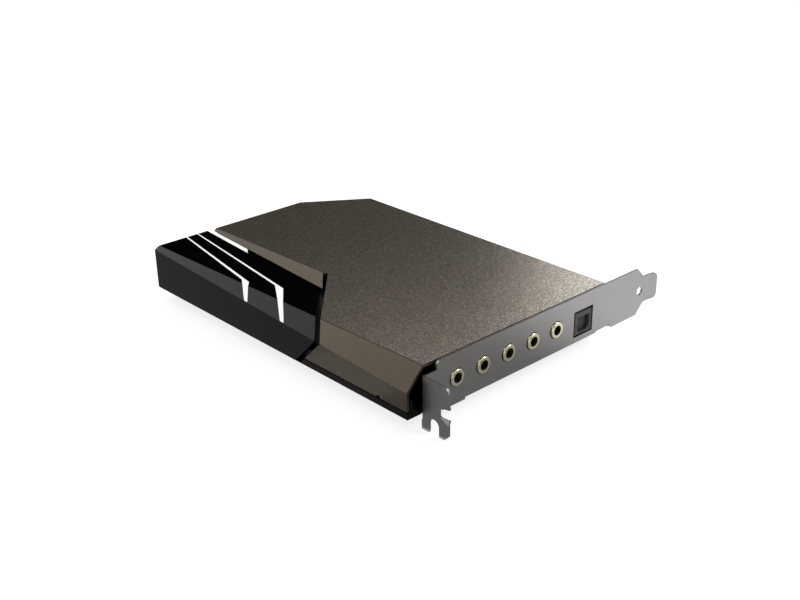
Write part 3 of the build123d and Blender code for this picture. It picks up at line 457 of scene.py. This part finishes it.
# Drawn aluminium: bright cans with a soft sheen.
CAN_ALUMINIUM = Finish(
    "aluminium_drawn", Grain.TURNED, "c9c9c9", "b3b3b4",
    metallic=1.0, roughness=0.3, grain_mm=0.5, relief_mm=0.003,
)
# Red polyester: glossy moulded boxes.
FILM_POLYESTER = Finish(
    "polyester_red_moulded", Grain.POLISHED, "a81f1c", "8f1815",
    roughness=0.25, grain_mm=2.0, relief_mm=0.004,
)
# Pale PBT: satin off-white relay cases.
RELAY_PBT = Finish(
    "pbt_pale_moulded", Grain.MOULDED, "c9c8c2", "bdbcb5",
    roughness=0.5, grain_mm=0.4, relief_mm=0.008,
)
# Pressed ferrite: dull dark grey with a gritty face.
FERRITE = Finish(
    "ferrite_pressed", Grain.MOULDED, "38383a", "2b2b2d",
    metallic=0.1, roughness=0.65, grain_mm=0.3, relief_mm=0.02,
)
# Red cast epoxy: the glossy emitter behind the flap.
EMITTER_EPOXY = Finish(
    "epoxy_red_cast", Grain.POLISHED, "6d1512", "561010",
    roughness=0.15, grain_mm=3.0, relief_mm=0.002,
)
# Pale cast epoxy: small lit lamps under the guide.
LAMP_EPOXY = Finish(
    "epoxy_pale_cast", Grain.POLISHED, "efe9cf", "e3dcc0",
    roughness=0.25, grain_mm=1.0, relief_mm=0.003, glow=0.4,
)
# Reflowed tin solder: bright rounded cones, slightly frosted.
SOLDER_TIN = Finish(
    "tin_solder_reflowed", Grain.TURNED, "c6c8ca", "aeb0b3",
    metallic=1.0, roughness=0.3, grain_mm=0.4, relief_mm=0.006,
)
# Screen-printed ink: black and about as glossy as the window under it.
BORDER_INK = Finish(
    "ink_black_screen_printed", Grain.POLISHED, "040404", "050505",
    roughness=0.1, grain_mm=6.0, relief_mm=0.001, specular=0.25,
)
# Painted shade: a near-black dull face for the slab that darkens the foot of the slanting slot.
SLOT_SHADE_BLACK = Finish(
    "slot_shade_black", Grain.MOULDED, "020202", "040404",
    roughness=0.9, grain_mm=0.3, relief_mm=0.02, specular=0.0,
)
# A thin dull brown-black line along the seam between the cover's top and its near chamfer.
SEAM_LINE_DARK = Finish(
    "dark_seam_line", Grain.MOULDED, "241d16", "2b231b",
    roughness=0.8, grain_mm=0.4, relief_mm=0.005, specular=0.2,
)

FINISHES = (
    COVER_PAINT, WINDOW_ABS, GUIDE_POLYCARBONATE, BRACKET_STEEL, COLLAR_GOLD, CONTACT_GOLD,
    SPRING_BRONZE, SCREW_STEEL, FRAME_ABS, PORT_NYLON, FLAP_NYLON, JACK_NYLON, BOARD_LAMINATE,
    CHIP_EPOXY, CAN_ALUMINIUM, FILM_POLYESTER, RELAY_PBT, FERRITE, EMITTER_EPOXY, LAMP_EPOXY,
    SOLDER_TIN, BORDER_INK, SLOT_SHADE_BLACK, SEAM_LINE_DARK,
)


def new_piece(
    name: str, shape: bmesh.types.BMesh, finish: bpy.types.Material, smooth: bool = True
) -> bpy.types.Object:
    """Make an object that rides on the card.

    Args:
        name: Object name.
        shape: Mesh in metres, in the part's frame. Its faces are turned outwards, and it is freed.
        finish: Its material.
        smooth: Whether its faces are shaded as one round surface.

    Returns:
        The new object.
    """
    bmesh.ops.recalc_face_normals(shape, faces=shape.faces)
    mesh = bpy.data.meshes.new(name)
    shape.to_mesh(mesh)
    shape.free()
    for polygon in mesh.polygons:
        polygon.use_smooth = smooth
    mesh.materials.append(finish)
    piece = bpy.data.objects.new(name, mesh)
    bpy.context.scene.collection.objects.link(piece)
    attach(piece, "card")
    LOG.info("made %s with %d faces", name, len(mesh.polygons))
    return piece


def around(radius: float, sides: int) -> list[Pair]:
    """Lay out an even polygon about the origin.

    Args:
        radius: Distance of its corners.
        sides: Number of sides.

    Returns:
        Its corners, in the unit of the radius.
    """
    angles = [2 * math.pi * step / sides for step in range(sides)]
    return [(radius * math.cos(angle), radius * math.sin(angle)) for angle in angles]


def bridge(shape: bmesh.types.BMesh, rings: Sequence[Sequence[bmesh.types.BMVert]]) -> None:
    """Join rings of corners with bands of faces.

    Args:
        shape: Mesh that holds the corners.
        rings: Rings of as many corners each, in order.
    """
    for low, high in zip(rings, rings[1:]):
        for step in range(len(low)):
            after = (step + 1) % len(low)
            shape.faces.new((low[step], low[after], high[after], high[step]))


def closed_form(shape: bmesh.types.BMesh, rings: Sequence[Sequence[bmesh.types.BMVert]]) -> None:
    """Join rings of corners, and close the first and the last.

    Args:
        shape: Mesh that holds the corners.
        rings: Rings of as many corners each, in order.
    """
    bridge(shape, rings)
    shape.faces.new(list(reversed(rings[0])))
    shape.faces.new(rings[-1])


def turned(
    shape: bmesh.types.BMesh, centre: Vector, profile: Sequence[Pair], sides: int
) -> list[list[bmesh.types.BMVert]]:
    """Add the rings of a lathe form about an upright axis.

    Args:
        shape: Mesh that gets the rings.
        centre: Point on the axis, in metres.
        profile: Radius and height of each ring, in millimetres.
        sides: Number of sides.

    Returns:
        The rings of corners, not yet joined.
    """
    rings = []
    for radius, height in profile:
        offsets = [Vector((x, y, height)) * MILLIMETRE for x, y in around(radius, sides)]
        rings.append([shape.verts.new(centre + offset) for offset in offsets])
    return rings


def slab(shape: bmesh.types.BMesh, foot: Sequence[Vector], rise: Vector) -> None:
    """Add a closed straight-sided form.

    Args:
        shape: Mesh that gets the form.
        foot: Corners of its foot, in metres.
        rise: Way from the foot to the top, in metres.
    """
    closed_form(shape, [[shape.verts.new(corner + lift) for corner in foot] for lift in (Vector(), rise)])


def clusters(points: Iterable[Vector], reach_mm: float) -> list[list[Vector]]:
    """Sort points into groups.

    Args:
        points: Points in metres.
        reach_mm: Distance from a group's first point within which a point joins it, in millimetres.

    Returns:
        The groups, in the order of their first points.
    """
    groups: list[list[Vector]] = []
    for point in points:
        for group in groups:
            if (group[0] - point).length < reach_mm * MILLIMETRE:
                group.append(point)
                break
        else:
            groups.append([point])
    return groups


@dataclass
class Dressing:
    """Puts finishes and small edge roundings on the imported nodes.

    Attributes:
        sheet_mm: Rounding of sheared sheet edges.
        case_mm: Rounding of painted, moulded, drawn and turned edges.
        window_mm: Rounding of the window's crisp edges.
        edge_segments: Number of steps across a rounding.
        edge_angle_deg: Angle at which an edge starts to count as sharp.
    """

    sheet_mm: float = 0.12
    case_mm: float = 0.2
    window_mm: float = 0.06
    edge_segments: int = 2
    edge_angle_deg: float = 25.0

    def table(self) -> dict[str, tuple[Finish, float]]:
        """List how each node is dressed.

        Returns:
            Finish and rounding in millimetres by node, with 0 where the edges stay sharp.
        """
        nodes = {
            "bracket": (BRACKET_STEEL, self.sheet_mm),
            "bracket_screws": (SCREW_STEEL, 0.0),
            "circuit_board": (BOARD_LAMINATE, 0.0),
            "edge_contacts": (CONTACT_GOLD, 0.0),
            "top_cover": (COVER_PAINT, self.case_mm),
            "inner_frame": (FRAME_ABS, 0.0),
            "frame_screws": (SCREW_STEEL, 0.0),
            "light_window": (WINDOW_ABS, self.window_mm),
            "light_guide": (GUIDE_POLYCARBONATE, 0.0),
            "groove_light_bar": (GUIDE_POLYCARBONATE, 0.0),
            "light_board": (BOARD_LAMINATE, 0.0),
            "light_leds": (LAMP_EPOXY, 0.0),
            "optical_body": (PORT_NYLON, self.case_mm),
            "optical_shutter": (FLAP_NYLON, 0.0),
            "optical_hinge_pin": (SCREW_STEEL, 0.0),
            "optical_emitter": (EMITTER_EPOXY, 0.0),
            "electrolytic_capacitors": (CAN_ALUMINIUM, 0.0),
            "film_capacitors": (FILM_POLYESTER, self.case_mm),
            "output_relays": (RELAY_PBT, self.case_mm),
            "clock_crystals": (CAN_ALUMINIUM, self.case_mm),
            "supply_inductors": (FERRITE, 0.0),
        }
        chips = (
            "audio_processor", "audio_converter", "headphone_amplifiers", "op_amps", "voltage_regulators"
        )
        for name in chips:
            nodes[name] = (CHIP_EPOXY, 0.0)
        jack_parts = {
            "body": (JACK_NYLON, 0.0),
            "collar": (COLLAR_GOLD, self.case_mm),
            "contacts": (SPRING_BRONZE, 0.0),
        }
        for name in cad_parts:
            if name.startswith("jack_"):
                nodes[name] = jack_parts[name.rsplit("_", 1)[1]]
        return nodes

    def round_edges(self, node: bpy.types.Object, radius_mm: float) -> None:
        """Round the sharp edges of one node a little, as the real part's are.

        Args:
            node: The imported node.
            radius_mm: Size of the rounding in millimetres.
        """
        bevel = node.modifiers.new("edge_rounding", "BEVEL")
        bevel.width = radius_mm * MILLIMETRE
        bevel.segments = self.edge_segments
        bevel.limit_method = "ANGLE"
        bevel.angle_limit = math.radians(self.edge_angle_deg)
        bevel.use_clamp_overlap = True
        bevel.harden_normals = True

    def dress(self, built: dict[Finish, bpy.types.Material]) -> None:
        """Dress every node.

        Args:
            built: Materials by finish.
        """
        for name, (finish, radius_mm) in self.table().items():
            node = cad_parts[name]
            node.data.materials.clear()
            node.data.materials.append(built[finish])
            if radius_mm:
                self.round_edges(node, radius_mm)
            LOG.info("dressed %s in %s", name, finish.name)


@dataclass
class BoardFasteners:
    """Pan-head screws with cross recesses that stand for the plain screws under the board.

    Attributes:
        head_radius_mm: Radius of a head.
        head_height_mm: Height of a head.
        dome_share: Share of that height by which the rim lies back from the crown.
        dome_power: How late the dome falls away towards its rim.
        recess_half_mm: Half the width of a recess arm.
        recess_reach_mm: Length of a recess arm from the middle.
        recess_depth_mm: Depth of the recess in its middle.
        recess_slope: Share of that depth that is lost at an arm's end.
        shank_radius_mm: Radius of a shank.
        sides: Number of sides round a screw.
        rings: Number of rings across a head.
        plan_reach_mm: Distance in plan that holds all of one packed screw and nothing of the next.
    """

    head_radius_mm: float = 2.5
    head_height_mm: float = 1.6
    dome_share: float = 0.35
    dome_power: int = 4
    recess_half_mm: float = 0.32
    recess_reach_mm: float = 1.5
    recess_depth_mm: float = 0.75
    recess_slope: float = 0.55
    shank_radius_mm: float = 1.3
    sides: int = 48
    rings: int = 14
    plan_reach_mm: float = 8.0

    def places(self) -> list[Vector]:
        """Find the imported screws.

        Returns:
            Lowest point of each screw's axis.
        """
        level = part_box("frame_screws")[0].z
        corners = [vertex.co.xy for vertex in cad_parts["frame_screws"].data.vertices]
        found = []
        for group in clusters(sorted(corners, key=tuple), self.plan_reach_mm):
            low = Vector((min(corner.x for corner in group), min(corner.y for corner in group)))
            high = Vector((max(corner.x for corner in group), max(corner.y for corner in group)))
            middle = (low + high) / 2
            found.append(Vector((middle.x, middle.y, level)))
        return found

    def depth(self, x: float, y: float) -> float:
        """Measure the cross recess at a place on the head.

        Args:
            x: Distance from the axis along X, in millimetres.
            y: Distance from the axis along Y, in millimetres.

        Returns:
            Depth there, in millimetres.
        """
        reach = max(abs(x), abs(y))
        across = min(abs(x), abs(y))
        if reach > self.recess_reach_mm or across > self.recess_half_mm:
            return 0.0
        return self.recess_depth_mm * (1 - self.recess_slope * reach / self.recess_reach_mm)

    def screw(self, shape: bmesh.types.BMesh, foot: Vector, top: float) -> None:
        """Add one screw, from the middle of its head round to the end of its shank.

        Args:
            shape: Mesh that gets the screw.
            foot: Lowest point of its axis.
            top: Height of the end of its shank.
        """
        crown = shape.verts.new(foot + Vector((0, 0, self.depth(0, 0))) * MILLIMETRE)
        rings = []
        for count in range(1, self.rings + 1):
            radius = self.head_radius_mm * count / self.rings
            share = radius / self.head_radius_mm
            dome = self.dome_share * self.head_height_mm * share ** self.dome_power
            places = around(radius, self.sides)
            offsets = [Vector((x, y, dome + self.depth(x, y))) * MILLIMETRE for x, y in places]
            rings.append([shape.verts.new(foot + offset) for offset in offsets])
        sides = (
            (self.head_radius_mm, self.head_height_mm),
            (self.shank_radius_mm, self.head_height_mm),
            (self.shank_radius_mm, (top - foot.z) / MILLIMETRE),
        )
        rings += turned(shape, foot, sides, self.sides)
        for step in range(self.sides):
            after = (step + 1) % self.sides
            shape.faces.new((crown, rings[0][after], rings[0][step]))
        bridge(shape, rings)
        shape.faces.new(list(reversed(rings[-1])))

    def make(self, finish: bpy.types.Material) -> bpy.types.Object:
        """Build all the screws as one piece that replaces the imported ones.

        Args:
            finish: Their material.

        Returns:
            The new piece.
        """
        shape = bmesh.new()
        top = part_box("frame_screws")[1].z
        for foot in self.places():
            self.screw(shape, foot, top)
        piece = new_piece("cross_head_screws", shape, finish)
        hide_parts("frame_screws")
        return piece


@dataclass
class SolderJoints:
    """Solder cones round the leads that come through the board.

    Attributes:
        foot_radius_mm: Radius of a cone at the board.
        tip_radius_mm: Radius of a cone at its tip.
        height_mm: Height of a cone.
        bands: Number of bands of faces from its foot to its tip.
        sides: Number of sides round a cone.
        tip_depth_mm: How near the lowest level a corner lies that counts as a lead's tip.
        lead_reach_mm: Distance that holds all of one lead's tip and nothing of the next.
    """

    foot_radius_mm: float = 0.95
    tip_radius_mm: float = 0.35
    height_mm: float = 0.85
    bands: int = 4
    sides: int = 20
    tip_depth_mm: float = 0.1
    lead_reach_mm: float = 1.26

    def leads(self) -> Iterator[Vector]:
        """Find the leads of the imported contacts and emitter.

        Yields:
            Middle of each lead's tip under the board.
        """
        for name, node in sorted(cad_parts.items()):
            is_contacts = name.startswith("jack_") and name.endswith("_contacts")
            if not is_contacts and name != "optical_emitter":
                continue
            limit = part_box(name)[0].z + self.tip_depth_mm * MILLIMETRE
            tips = [vertex.co for vertex in node.data.vertices if vertex.co.z < limit]
            for group in clusters(tips, self.lead_reach_mm):
                yield sum((Vector(tip) for tip in group), Vector()) / len(group)

    def profile(self) -> list[Pair]:
        """Shape one cone, hollow as wetted solder is.

        Returns:
            Radius and height of each ring from the foot down, in millimetres.
        """
        flare = self.foot_radius_mm - self.tip_radius_mm
        rings = []
        for step in range(self.bands + 1):
            share = step / self.bands
            rings.append((self.tip_radius_mm + flare * (1 - share) ** 2, -self.height_mm * share))
        return rings

    def make(self, finish: bpy.types.Material) -> bpy.types.Object:
        """Build all the joints as one piece.

        Args:
            finish: Their material.

        Returns:
            The new piece.
        """
        shape = bmesh.new()
        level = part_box("circuit_board")[0].z
        for lead in self.leads():
            foot = Vector((lead.x, lead.y, level))
            closed_form(shape, turned(shape, foot, self.profile(), self.sides))
        return new_piece("solder_joints", shape, finish)


@dataclass(frozen=True)
class LitSlot:
    """Far edge of one lit slot in the window, in millimetres from the window's near back corner.

    Attributes:
        back: Distance of the edge across the card at the back.
        end: Distances along and across the card at the edge's other end.
        border: Width of the printed border at the back and at the other end.
    """

    back: float
    end: Pair
    border: Pair


@dataclass
class WindowTrim:
    """Borders printed along the lit slots, a near-black slab of painted shade in the slanting slot's foot,
    and the cover's dark seam line.

    Places are in millimetres from the window's near back corner at its top.

    Attributes:
        slots: Far edges of the lit slots that get a border.
        overlap_mm: How far a border runs on over the window.
        ink_mm: Thickness of the print and of the seam's line.
        slot_shade_mm: Corners of the painted shade slab, along the card and upwards.
        slot_shade_depth_mm: Where the painted shade slab starts and ends across the card.
        seam_mm: Ends of the seam, along and across the card.
        seam_width_mm: How far its line runs to the near and to the far side of them.
    """

    slots: tuple[LitSlot, ...] = (
        LitSlot(back=15.505, end=(53.295, 6.44), border=(0.40, 0.12)),
        LitSlot(back=20.692, end=(66.4, 11.87), border=(0.52, 0.20)),
    )
    overlap_mm: float = 0.15
    ink_mm: float = 0.015
    slot_shade_mm: tuple[Pair, ...] = ((87.15, -16.8), (89.78, -16.8), (92.53, -14.05), (89.9, -14.05))
    slot_shade_depth_mm: Pair = (0.05, 1.0)
    seam_mm: tuple[Pair, Pair] = ((95.6, 5.24), (143.15, 6.8))
    seam_width_mm: Pair = (-0.1, 0.3)

    def corner(self) -> Vector:
        """Find the window's near back corner at its top.

        Returns:
            The corner, in metres.
        """
        low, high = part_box("light_window")
        return Vector((low.x, low.y, high.z))

    def print_line(
        self, shape: bmesh.types.BMesh, ends: tuple[Pair, Pair], near: Pair, far: Pair
    ) -> None:
        """Add one thin line on the level of the window's top.

        Args:
            shape: Mesh that gets the line.
            ends: Its two ends, along and across the card.
            near: How far it runs across the card from each end to its near side.
            far: How far it runs across the card from each end to its far side.
        """
        (start_x, start_y), (end_x, end_y) = ends
        outline = (
            (start_x, start_y + near[0]),
            (end_x, end_y + near[1]),
            (end_x, end_y + far[1]),
            (start_x, start_y + far[0]),
        )
        foot = [self.corner() + Vector((x, y, 0.0)) * MILLIMETRE for x, y in outline]
        slab(shape, foot, Vector((0.0, 0.0, self.ink_mm * MILLIMETRE)))

    def borders(self, finish: bpy.types.Material) -> bpy.types.Object:
        """Print the borders along the far edges of the lit slots.

        Args:
            finish: Their material.

        Returns:
            The new piece.
        """
        shape = bmesh.new()
        for slot in self.slots:
            near = (-slot.border[0], -slot.border[1])
            self.print_line(shape, ((0.0, slot.back), slot.end), near, (self.overlap_mm, self.overlap_mm))
        return new_piece("printed_borders", shape, finish, smooth=False)

    def shade_slot(self, finish: bpy.types.Material) -> bpy.types.Object:
        """Put the near-black slab of painted shade in the foot of the slot.

        Args:
            finish: Its material.

        Returns:
            The new piece.
        """
        shape = bmesh.new()
        front, back = self.slot_shade_depth_mm
        foot = [self.corner() + Vector((x, front, z)) * MILLIMETRE for x, z in self.slot_shade_mm]
        slab(shape, foot, Vector((0.0, back - front, 0.0)) * MILLIMETRE)
        return new_piece("slot_shade", shape, finish, smooth=False)

    def seam(self, finish: bpy.types.Material) -> bpy.types.Object:
        """Draw the dark seam along the upper edge of the cover's near chamfer.

        Args:
            finish: Its material.

        Returns:
            The new piece.
        """
        shape = bmesh.new()
        near, far = self.seam_width_mm
        self.print_line(shape, self.seam_mm, (near, near), (far, far))
        return new_piece("cover_seam", shape, finish, smooth=False)


@dataclass(frozen=True)
class PhotoCamera:
    """Camera at the photograph's viewing angle, fitted to the edges of the card.

    Attributes:
        eye: Its place, in metres.
        right: Direction to the right in its picture.
        up: Direction upwards in its picture.
        lens_mm: Focal length.
        sensor_mm: Width of its sensor.
        nearest: Distance at which it starts to see, in metres.
    """

    eye: Triple = (0.29171, -0.270975, 0.18712)
    right: Triple = (0.6783, 0.7347, -0.0148)
    up: Triple = (-0.2978, 0.2933, 0.9085)
    lens_mm: float = 51.64
    sensor_mm: float = 36.0
    nearest: float = 0.01

    def place(self) -> bpy.types.Object:
        """Make the camera and set it as the scene's own.

        Returns:
            The camera.
        """
        right = Vector(self.right).normalized()
        back = right.cross(Vector(self.up)).normalized()
        up = back.cross(right)
        lens = bpy.data.cameras.new("photo_camera")
        lens.lens = self.lens_mm
        lens.sensor_width = self.sensor_mm
        lens.sensor_fit = "HORIZONTAL"
        lens.clip_start = self.nearest
        camera = bpy.data.objects.new("photo_camera", lens)
        bpy.context.scene.collection.objects.link(camera)
        turn = Matrix((right, up, back)).transposed().to_4x4()
        camera.matrix_world = Matrix.Translation(self.eye) @ turn
        bpy.context.scene.camera = camera
        return camera


@dataclass(frozen=True)
class SoftLight:
    """One soft panel of light.

    Attributes:
        name: Light name.
        place: Middle of the panel, in metres.
        aim: Point that it faces, in metres.
        size: Side of the panel, in metres.
        power: Power in watts.
    """

    name: str
    place: Triple
    aim: Triple
    size: float
    power: float

    def make(self) -> bpy.types.Object:
        """Make the light.

        Returns:
            The new light, hidden from the camera.
        """
        lamp = bpy.data.lights.new(self.name, "AREA")
        lamp.shape = "SQUARE"
        lamp.size = self.size
        lamp.energy = self.power
        panel = bpy.data.objects.new(self.name, lamp)
        panel.location = self.place
        direction = Vector(self.aim) - Vector(self.place)
        panel.rotation_euler = direction.to_track_quat("-Z", "Y").to_euler()
        panel.visible_camera = False
        bpy.context.scene.collection.objects.link(panel)
        return panel


def studio_sheet(name: str, size: Pair, face: bpy.types.Material) -> bpy.types.Object:
    """Make a flat sheet of the studio, about the origin.

    Args:
        name: Sheet name.
        size: Width and height, in metres.
        face: Its material.

    Returns:
        The new object.
    """
    half_x, half_y = size[0] / 2, size[1] / 2
    corners = ((-half_x, -half_y), (half_x, -half_y), (half_x, half_y), (-half_x, half_y))
    shape = bmesh.new()
    shape.faces.new([shape.verts.new((x, y, 0.0)) for x, y in corners])
    mesh = bpy.data.meshes.new(name)
    shape.to_mesh(mesh)
    shape.free()
    mesh.materials.append(face)
    sheet = bpy.data.objects.new(name, mesh)
    bpy.context.scene.collection.objects.link(sheet)
    return sheet


@dataclass(frozen=True)
class MirrorCard:
    """Flat studio card that only shiny surfaces see.

    Attributes:
        name: Card name.
        place: Middle of the card, in metres.
        facing: Direction that the card faces.
        size: Width and height, in metres.
        fade: Two places along the card's height between which it changes, in metres from its middle.
        levels: Light that it gives below the first place and above the second.
    """

    name: str
    place: Triple
    facing: Triple
    size: Pair
    fade: Pair = (0.0, 1.0)
    levels: Pair = (0.0, 0.0)

    def paint(self) -> bpy.types.Material:
        """Build the card's even or fading face.

        Returns:
            The finished material.
        """
        material = bpy.data.materials.new(self.name)
        tree = bare_tree(material)
        place = add_node(tree, "ShaderNodeTexCoord")
        axes = add_node(tree, "ShaderNodeSeparateXYZ", None, {"Vector": place.outputs["Object"]})
        level = add_node(
            tree, "ShaderNodeMapRange",
            {
                "interpolation_type": "SMOOTHSTEP", "From Min": self.fade[0], "From Max": self.fade[1],
                "To Min": self.levels[0], "To Max": self.levels[1],
            },
            {"Value": axes.outputs["Y"]},
        )
        face = add_node(
            tree, "ShaderNodeEmission", {"Color": linear(WHITE)}, {"Strength": level.outputs["Result"]}
        )
        add_node(tree, "ShaderNodeOutputMaterial", None, {"Surface": face.outputs[0]})
        return material

    def make(self) -> bpy.types.Object:
        """Make the card.

        Returns:
            The new object, hidden from the camera, from diffuse light and from shadows.
        """
        card = studio_sheet(self.name, self.size, self.paint())
        card.location = self.place
        card.rotation_euler = Vector(self.facing).to_track_quat("-Z", "Y").to_euler()
        card.visible_camera = False
        card.visible_diffuse = False
        card.visible_shadow = False
        return card


@dataclass(frozen=True)
class Studio:
    """White floor and room, soft panels, and cards that the shiny surfaces mirror.

    Attributes:
        ambient: Light that the room gives.
        floor_size: Side of the floor, in metres.
        floor_drop: Distance of the floor below the card's lowest point, in metres.
        floor_paper: Colour of the floor as sRGB hex.
        floor_glow: Light of its own that the floor shows to the camera and in mirrors.
    """

    ambient: float = 0.42
    floor_size: float = 6.0
    floor_drop: float = 0.0002
    floor_paper: str = "b8b8b8"
    floor_glow: float = 0.8

    def seen(self, tree: bpy.types.NodeTree) -> bpy.types.NodeSocket:
        """Tell the rays that show a surface from those that only carry light.

        Args:
            tree: The tree of a material or a world.

        Returns:
            A socket that is 1 for a ray from the camera, off a mirror or through glass, otherwise 0.
        """
        path = add_node(tree, "ShaderNodeLightPath")
        first = add_node(
            tree, "ShaderNodeMath", {"operation": "MAXIMUM"},
            {0: path.outputs["Is Camera Ray"], 1: path.outputs["Is Glossy Ray"]},
        )
        both = add_node(
            tree, "ShaderNodeMath", {"operation": "MAXIMUM"},
            {0: first.outputs[0], 1: path.outputs["Is Transmission Ray"]},
        )
        return both.outputs[0]

    def room(self) -> None:
        """Make a white room that lights the card at a plain level."""
        world = bpy.data.worlds.new("studio_room")
        bpy.context.scene.world = world
        tree = bare_tree(world)
        light = add_node(
            tree, "ShaderNodeBackground", {"Color": linear(WHITE), "Strength": self.ambient}
        )
        white = add_node(tree, "ShaderNodeBackground", {"Color": linear(WHITE), "Strength": 1.0})
        mixed = add_node(
            tree, "ShaderNodeMixShader", None,
            {0: self.seen(tree), 1: light.outputs[0], 2: white.outputs[0]},
        )
        add_node(tree, "ShaderNodeOutputWorld", None, {"Surface": mixed.outputs[0]})

    def floor(self) -> None:
        """Lay a pale floor that keeps a soft shadow."""
        material = bpy.data.materials.new("floor_paper_white")
        tree = bare_tree(material)
        paper = add_node(tree, "ShaderNodeBsdfDiffuse", {"Color": linear(self.floor_paper)})
        glow = add_node(
            tree, "ShaderNodeEmission", {"Color": linear(WHITE), "Strength": self.floor_glow}
        )
        both = add_node(
            tree, "ShaderNodeAddShader", None, {0: paper.outputs[0], 1: glow.outputs[0]}
        )
        mixed = add_node(
            tree, "ShaderNodeMixShader", None,
            {0: self.seen(tree), 1: paper.outputs[0], 2: both.outputs[0]},
        )
        add_node(tree, "ShaderNodeOutputMaterial", None, {"Surface": mixed.outputs[0]})
        ground = studio_sheet("studio_floor", (self.floor_size, self.floor_size), material)
        ground.location.z = -self.floor_drop

    def cards(self) -> None:
        """Place the cards.

        A black one stands behind, for the window's top. Just above the floor lie a dark grey one before the
        window's side, a lighter one before the cover's wall, and one by the bracket that fades from dark
        grey to bright.
        """
        down = (0.0, 0.0, -1.0)
        cards = (
            MirrorCard(
                "window_flag", place=(-0.7, 0.063, 0.215), facing=(0.605, -0.68, -0.416), size=(1.1, 0.34)
            ),
            MirrorCard(
                "side_card", place=(-0.1185, -0.26, 0.0006), facing=down, size=(0.243, 0.40),
                levels=(0.36, 0.36),
            ),
            MirrorCard(
                "wall_card", place=(0.0235, -0.26, 0.0006), facing=down, size=(0.041, 0.40),
                levels=(0.6, 0.6),
            ),
            MirrorCard(
                "bracket_card", place=(0.102, -0.06, 0.0008), facing=down, size=(0.116, 0.36),
                fade=(0.055, 0.115), levels=(0.32, 1.4),
            ),
        )
        for card in cards:
            card.make()
            LOG.info("placed %s", card.name)

    def lights(self) -> None:
        """Place the soft panels: over the window, two behind the cover, one high beyond the bracket."""
        panels = (
            SoftLight(
                "window_panel", place=(-0.62, -0.19, 0.75), aim=(-0.03, -0.05, 0.0), size=0.75, power=1.45
            ),
            SoftLight(
                "cover_panel", place=(-0.15, 0.51, 0.34), aim=(0.03, 0.0, 0.02), size=0.35, power=1.2
            ),
            SoftLight(
                "front_panel", place=(-0.33, 0.37, 0.46), aim=(0.065, -0.05, 0.02), size=0.25, power=0.48
            ),
            SoftLight(
                "bracket_panel", place=(0.31, 0.35, 0.375), aim=(0.06, 0.0, 0.01), size=0.14, power=0.6
            ),
        )
        for panel in panels:
            panel.make()
            LOG.info("placed %s", panel.name)

    def make(self) -> None:
        """Build the studio."""
        self.room()
        self.floor()
        self.cards()
        self.lights()
        bpy.context.scene.view_settings.view_transform = "Standard"


def main() -> None:
    """Dress the card, add its trim, and set the camera and studio."""
    logging.basicConfig(level=logging.INFO, format="%(name)s: %(message)s")
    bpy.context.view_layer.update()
    built = {finish: finish.build() for finish in FINISHES}
    PhotoCamera().place()
    Dressing().dress(built)
    BoardFasteners().make(built[SCREW_STEEL])
    SolderJoints().make(built[SOLDER_TIN])
    trim = WindowTrim()
    trim.borders(built[BORDER_INK])
    trim.shade_slot(built[SLOT_SHADE_BLACK])
    trim.seam(built[SEAM_LINE_DARK])
    Studio().make()


if __name__ == "__main__":
    main()
